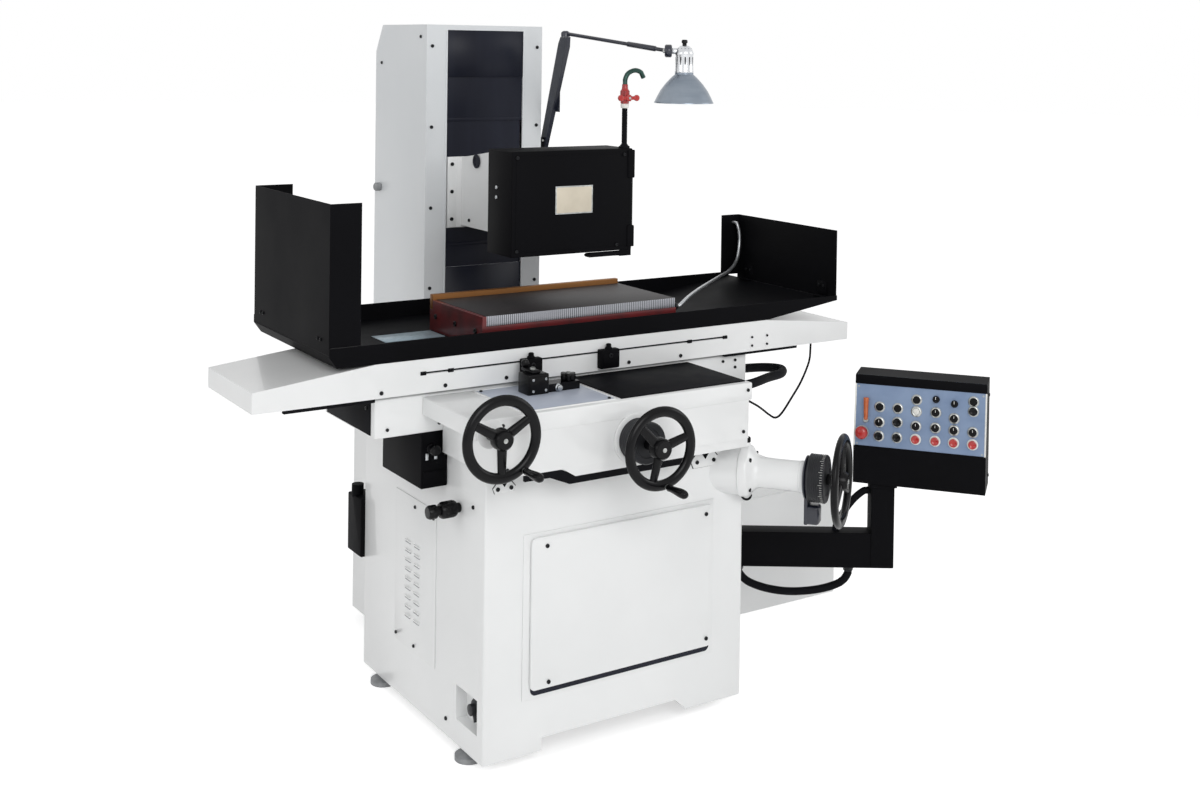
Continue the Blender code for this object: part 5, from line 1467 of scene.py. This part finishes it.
class GRINDER_OT_lamp(bpy.types.Operator):
    """Work lamp with its bracket, arms, vented socket and shade"""

    bl_idname = "grinder.lamp"
    bl_label = "Work lamp"

    def execute(self, context):
        hinge = Vector((0.213, 0.767, 1.460))
        elbow = Vector((0.213, 0.652, 1.785))
        swivel = Vector((0.326, 0.283, 1.748))

        def bolts(shape):
            for z in (1.448, 1.472):
                screw(shape, (0.199, hinge.y - 0.014, z), radius=0.0035, slot=1, height=0.002)

        dressed("lamp_bracket", [black_paint(), zinc()], "base", "black_sheet", 0.001, bolts)

        def pivots(shape):
            for side, x in ((-1, 0.2063), (1, 0.220)):
                lathe(shape, [(0.008, 0), (0.008, 0.002), (0.006, 0.003)], 6, 1, (x, hinge.y, hinge.z),
                      (side, 0, 0))
            block(shape, (0.2195, 0.690, 1.560), (0.2205, 0.720, 1.640), 0.0003)

        dressed("lamp_lower_arm", [lamp_blue(), zinc()], "lamp_lower_arm", "black_sheet", 0.0018, pivots)
        shape = bmesh.new()
        lathe(shape, [(0.013, 0), (0.013, 0.012), (0.011, 0.015), (0.006, 0.018)], 32, 0, elbow)
        start = elbow + UP * 0.010
        reach = swivel - start
        place(shape, rod(0.0055, reach.length, 0.0005, 24), 0, start, reach)
        place(shape, rod(0.0078, reach.length * 0.26, 0.0012, 24), 0, start + reach * 0.62, reach)
        across = Vector((0.036, -0.027, 0)).normalized()
        puck = [(0.015, -0.010), (0.018, -0.007), (0.018, 0.007), (0.015, 0.010)]
        lathe(shape, puck, 40, 0, swivel, across)
        place(shape, rod(0.006, 0.006, 0.001, 6), 1, swivel - across * 0.0095, -across)
        done("lamp_upper_arm", shape, [lamp_blue(), zinc()], "lamp_upper_arm", "black_sheet", 0, 45)
        rim, neck = 0.083, 0.026
        middle = Vector((0.362, 0.256, 0))
        shape = bmesh.new()
        shell = [(0.0225, 1.688), (0.034, 1.672), (0.050, 1.655), (0.064, 1.636), (0.074, 1.618),
                 (0.0795, 1.607), (rim - 0.0020, 1.6035), (rim, 1.6030), (rim, 1.6050), (0.0812, 1.6075),
                 (0.0758, 1.619), (0.0658, 1.638), (0.0518, 1.657), (0.0365, 1.6735), (neck, 1.683),
                 (neck, 1.689), (0.0235, 1.690), (0.0225, 1.688)]
        lathe(shape, shell, 72, 0, middle)
        socket = [(neck - 0.001, 1.686), (neck + 0.0008, 1.690), (neck - 0.0005, 1.694),
                  (neck - 0.0015, 1.736), (neck + 0.0003, 1.740), (neck - 0.0015, 1.746), (0.020, 1.756),
                  (0.012, 1.763), (0, 1.765)]
        lathe(shape, socket, 48, 1, middle)
        for step in range(SOCKET_VENTS):
            turn = Matrix.Rotation(math.tau * step / SOCKET_VENTS, 4, "Z")
            block(shape, (neck - 0.004, -0.0022, 1.698), (neck - 0.0009, 0.0022, 1.732), 0.0012, 2, middle,
                  turn=turn)
            block(shape, (0.0150, -0.0018, 1.7545), (0.0205, 0.0018, 1.7560), 0.0004, 2, middle, turn=turn)
        lathe(shape, [(0.006, 0), (0.006, 0.006), (0.0085, 0.008), (0.0085, 0.014), (0.006, 0.0165)], 24, 4,
              middle + Vector((0, 0, 1.7635)))
        reflector = [(0.010, 1.685), (0.0215, 1.6868), (0.0332, 1.6710), (0.0492, 1.6540), (0.0632, 1.6350),
                     (0.0732, 1.6172), (0.0790, 1.6065), (0.0782, 1.6060), (0.0724, 1.6166),
                     (0.0624, 1.6343), (0.0484, 1.6532), (0.0324, 1.6700), (0.0205, 1.6850), (0.010, 1.6840),
                     (0.010, 1.685)]
        lathe(shape, reflector, 72, 3, middle)
        bulb = [(0.012, 1.686), (0.012, 1.668), (0.018, 1.656), (0.024, 1.642), (0.024, 1.632),
                (0.018, 1.621), (0.009, 1.615), (0, 1.614)]
        lathe(shape, bulb, 36, 5, middle)
        gap = (Vector((middle.x, middle.y, swivel.z)) - swivel).length
        place(shape, rod(0.0085, gap - neck - 0.0053, 0.001, 24), 1, swivel + across * 0.0103, across)
        done("lamp_shade", shape,
             [shade_alloy(), socket_alloy(), phenolic(), inner_white(), phenolic(), bulb_glass()],
             "lamp_shade", "lamp_alloy", 0, 45)
        return {"FINISHED"}


# ---- add-on ----------------------------------------------------------------------------
OPERATORS = (GRINDER_OT_stage, GRINDER_OT_cables, GRINDER_OT_base, GRINDER_OT_column, GRINDER_OT_tank,
             GRINDER_OT_head, GRINDER_OT_guard, GRINDER_OT_saddle, GRINDER_OT_handwheels, GRINDER_OT_table,
             GRINDER_OT_pan, GRINDER_OT_chuck, GRINDER_OT_feed, GRINDER_OT_pendant, GRINDER_OT_console,
             GRINDER_OT_controls, GRINDER_OT_lamp)


class GRINDER_PT_panel(bpy.types.Panel):
    """Sizes, colours and pieces of the grinder"""

    bl_idname = "GRINDER_PT_panel"
    bl_label = "Surface grinder"
    bl_space_type = "VIEW_3D"
    bl_region_type = "UI"
    bl_category = "Grinder"

    def draw(self, context):
        for name in GrinderLooks.__annotations__:
            self.layout.prop(looks(), name)
        for operator in OPERATORS:
            self.layout.operator(operator.bl_idname)


CLASSES = (GrinderLooks, *OPERATORS, GRINDER_PT_panel)


def register():
    """Adds the classes and the scene's settings."""
    for each in CLASSES:
        bpy.utils.register_class(each)
    bpy.types.Scene.grinder_looks = PointerProperty(type=GrinderLooks)


def unregister():
    """Removes them again."""
    del bpy.types.Scene.grinder_looks
    for each in reversed(CLASSES):
        bpy.utils.unregister_class(each)


def main():
    """Builds every piece around the frame."""
    register()
    for operator in OPERATORS:
        group, name = operator.bl_idname.split(".")
        getattr(getattr(bpy.ops, group), name)()
    bpy.context.view_layer.update()


if __name__ == "__main__":
    main()
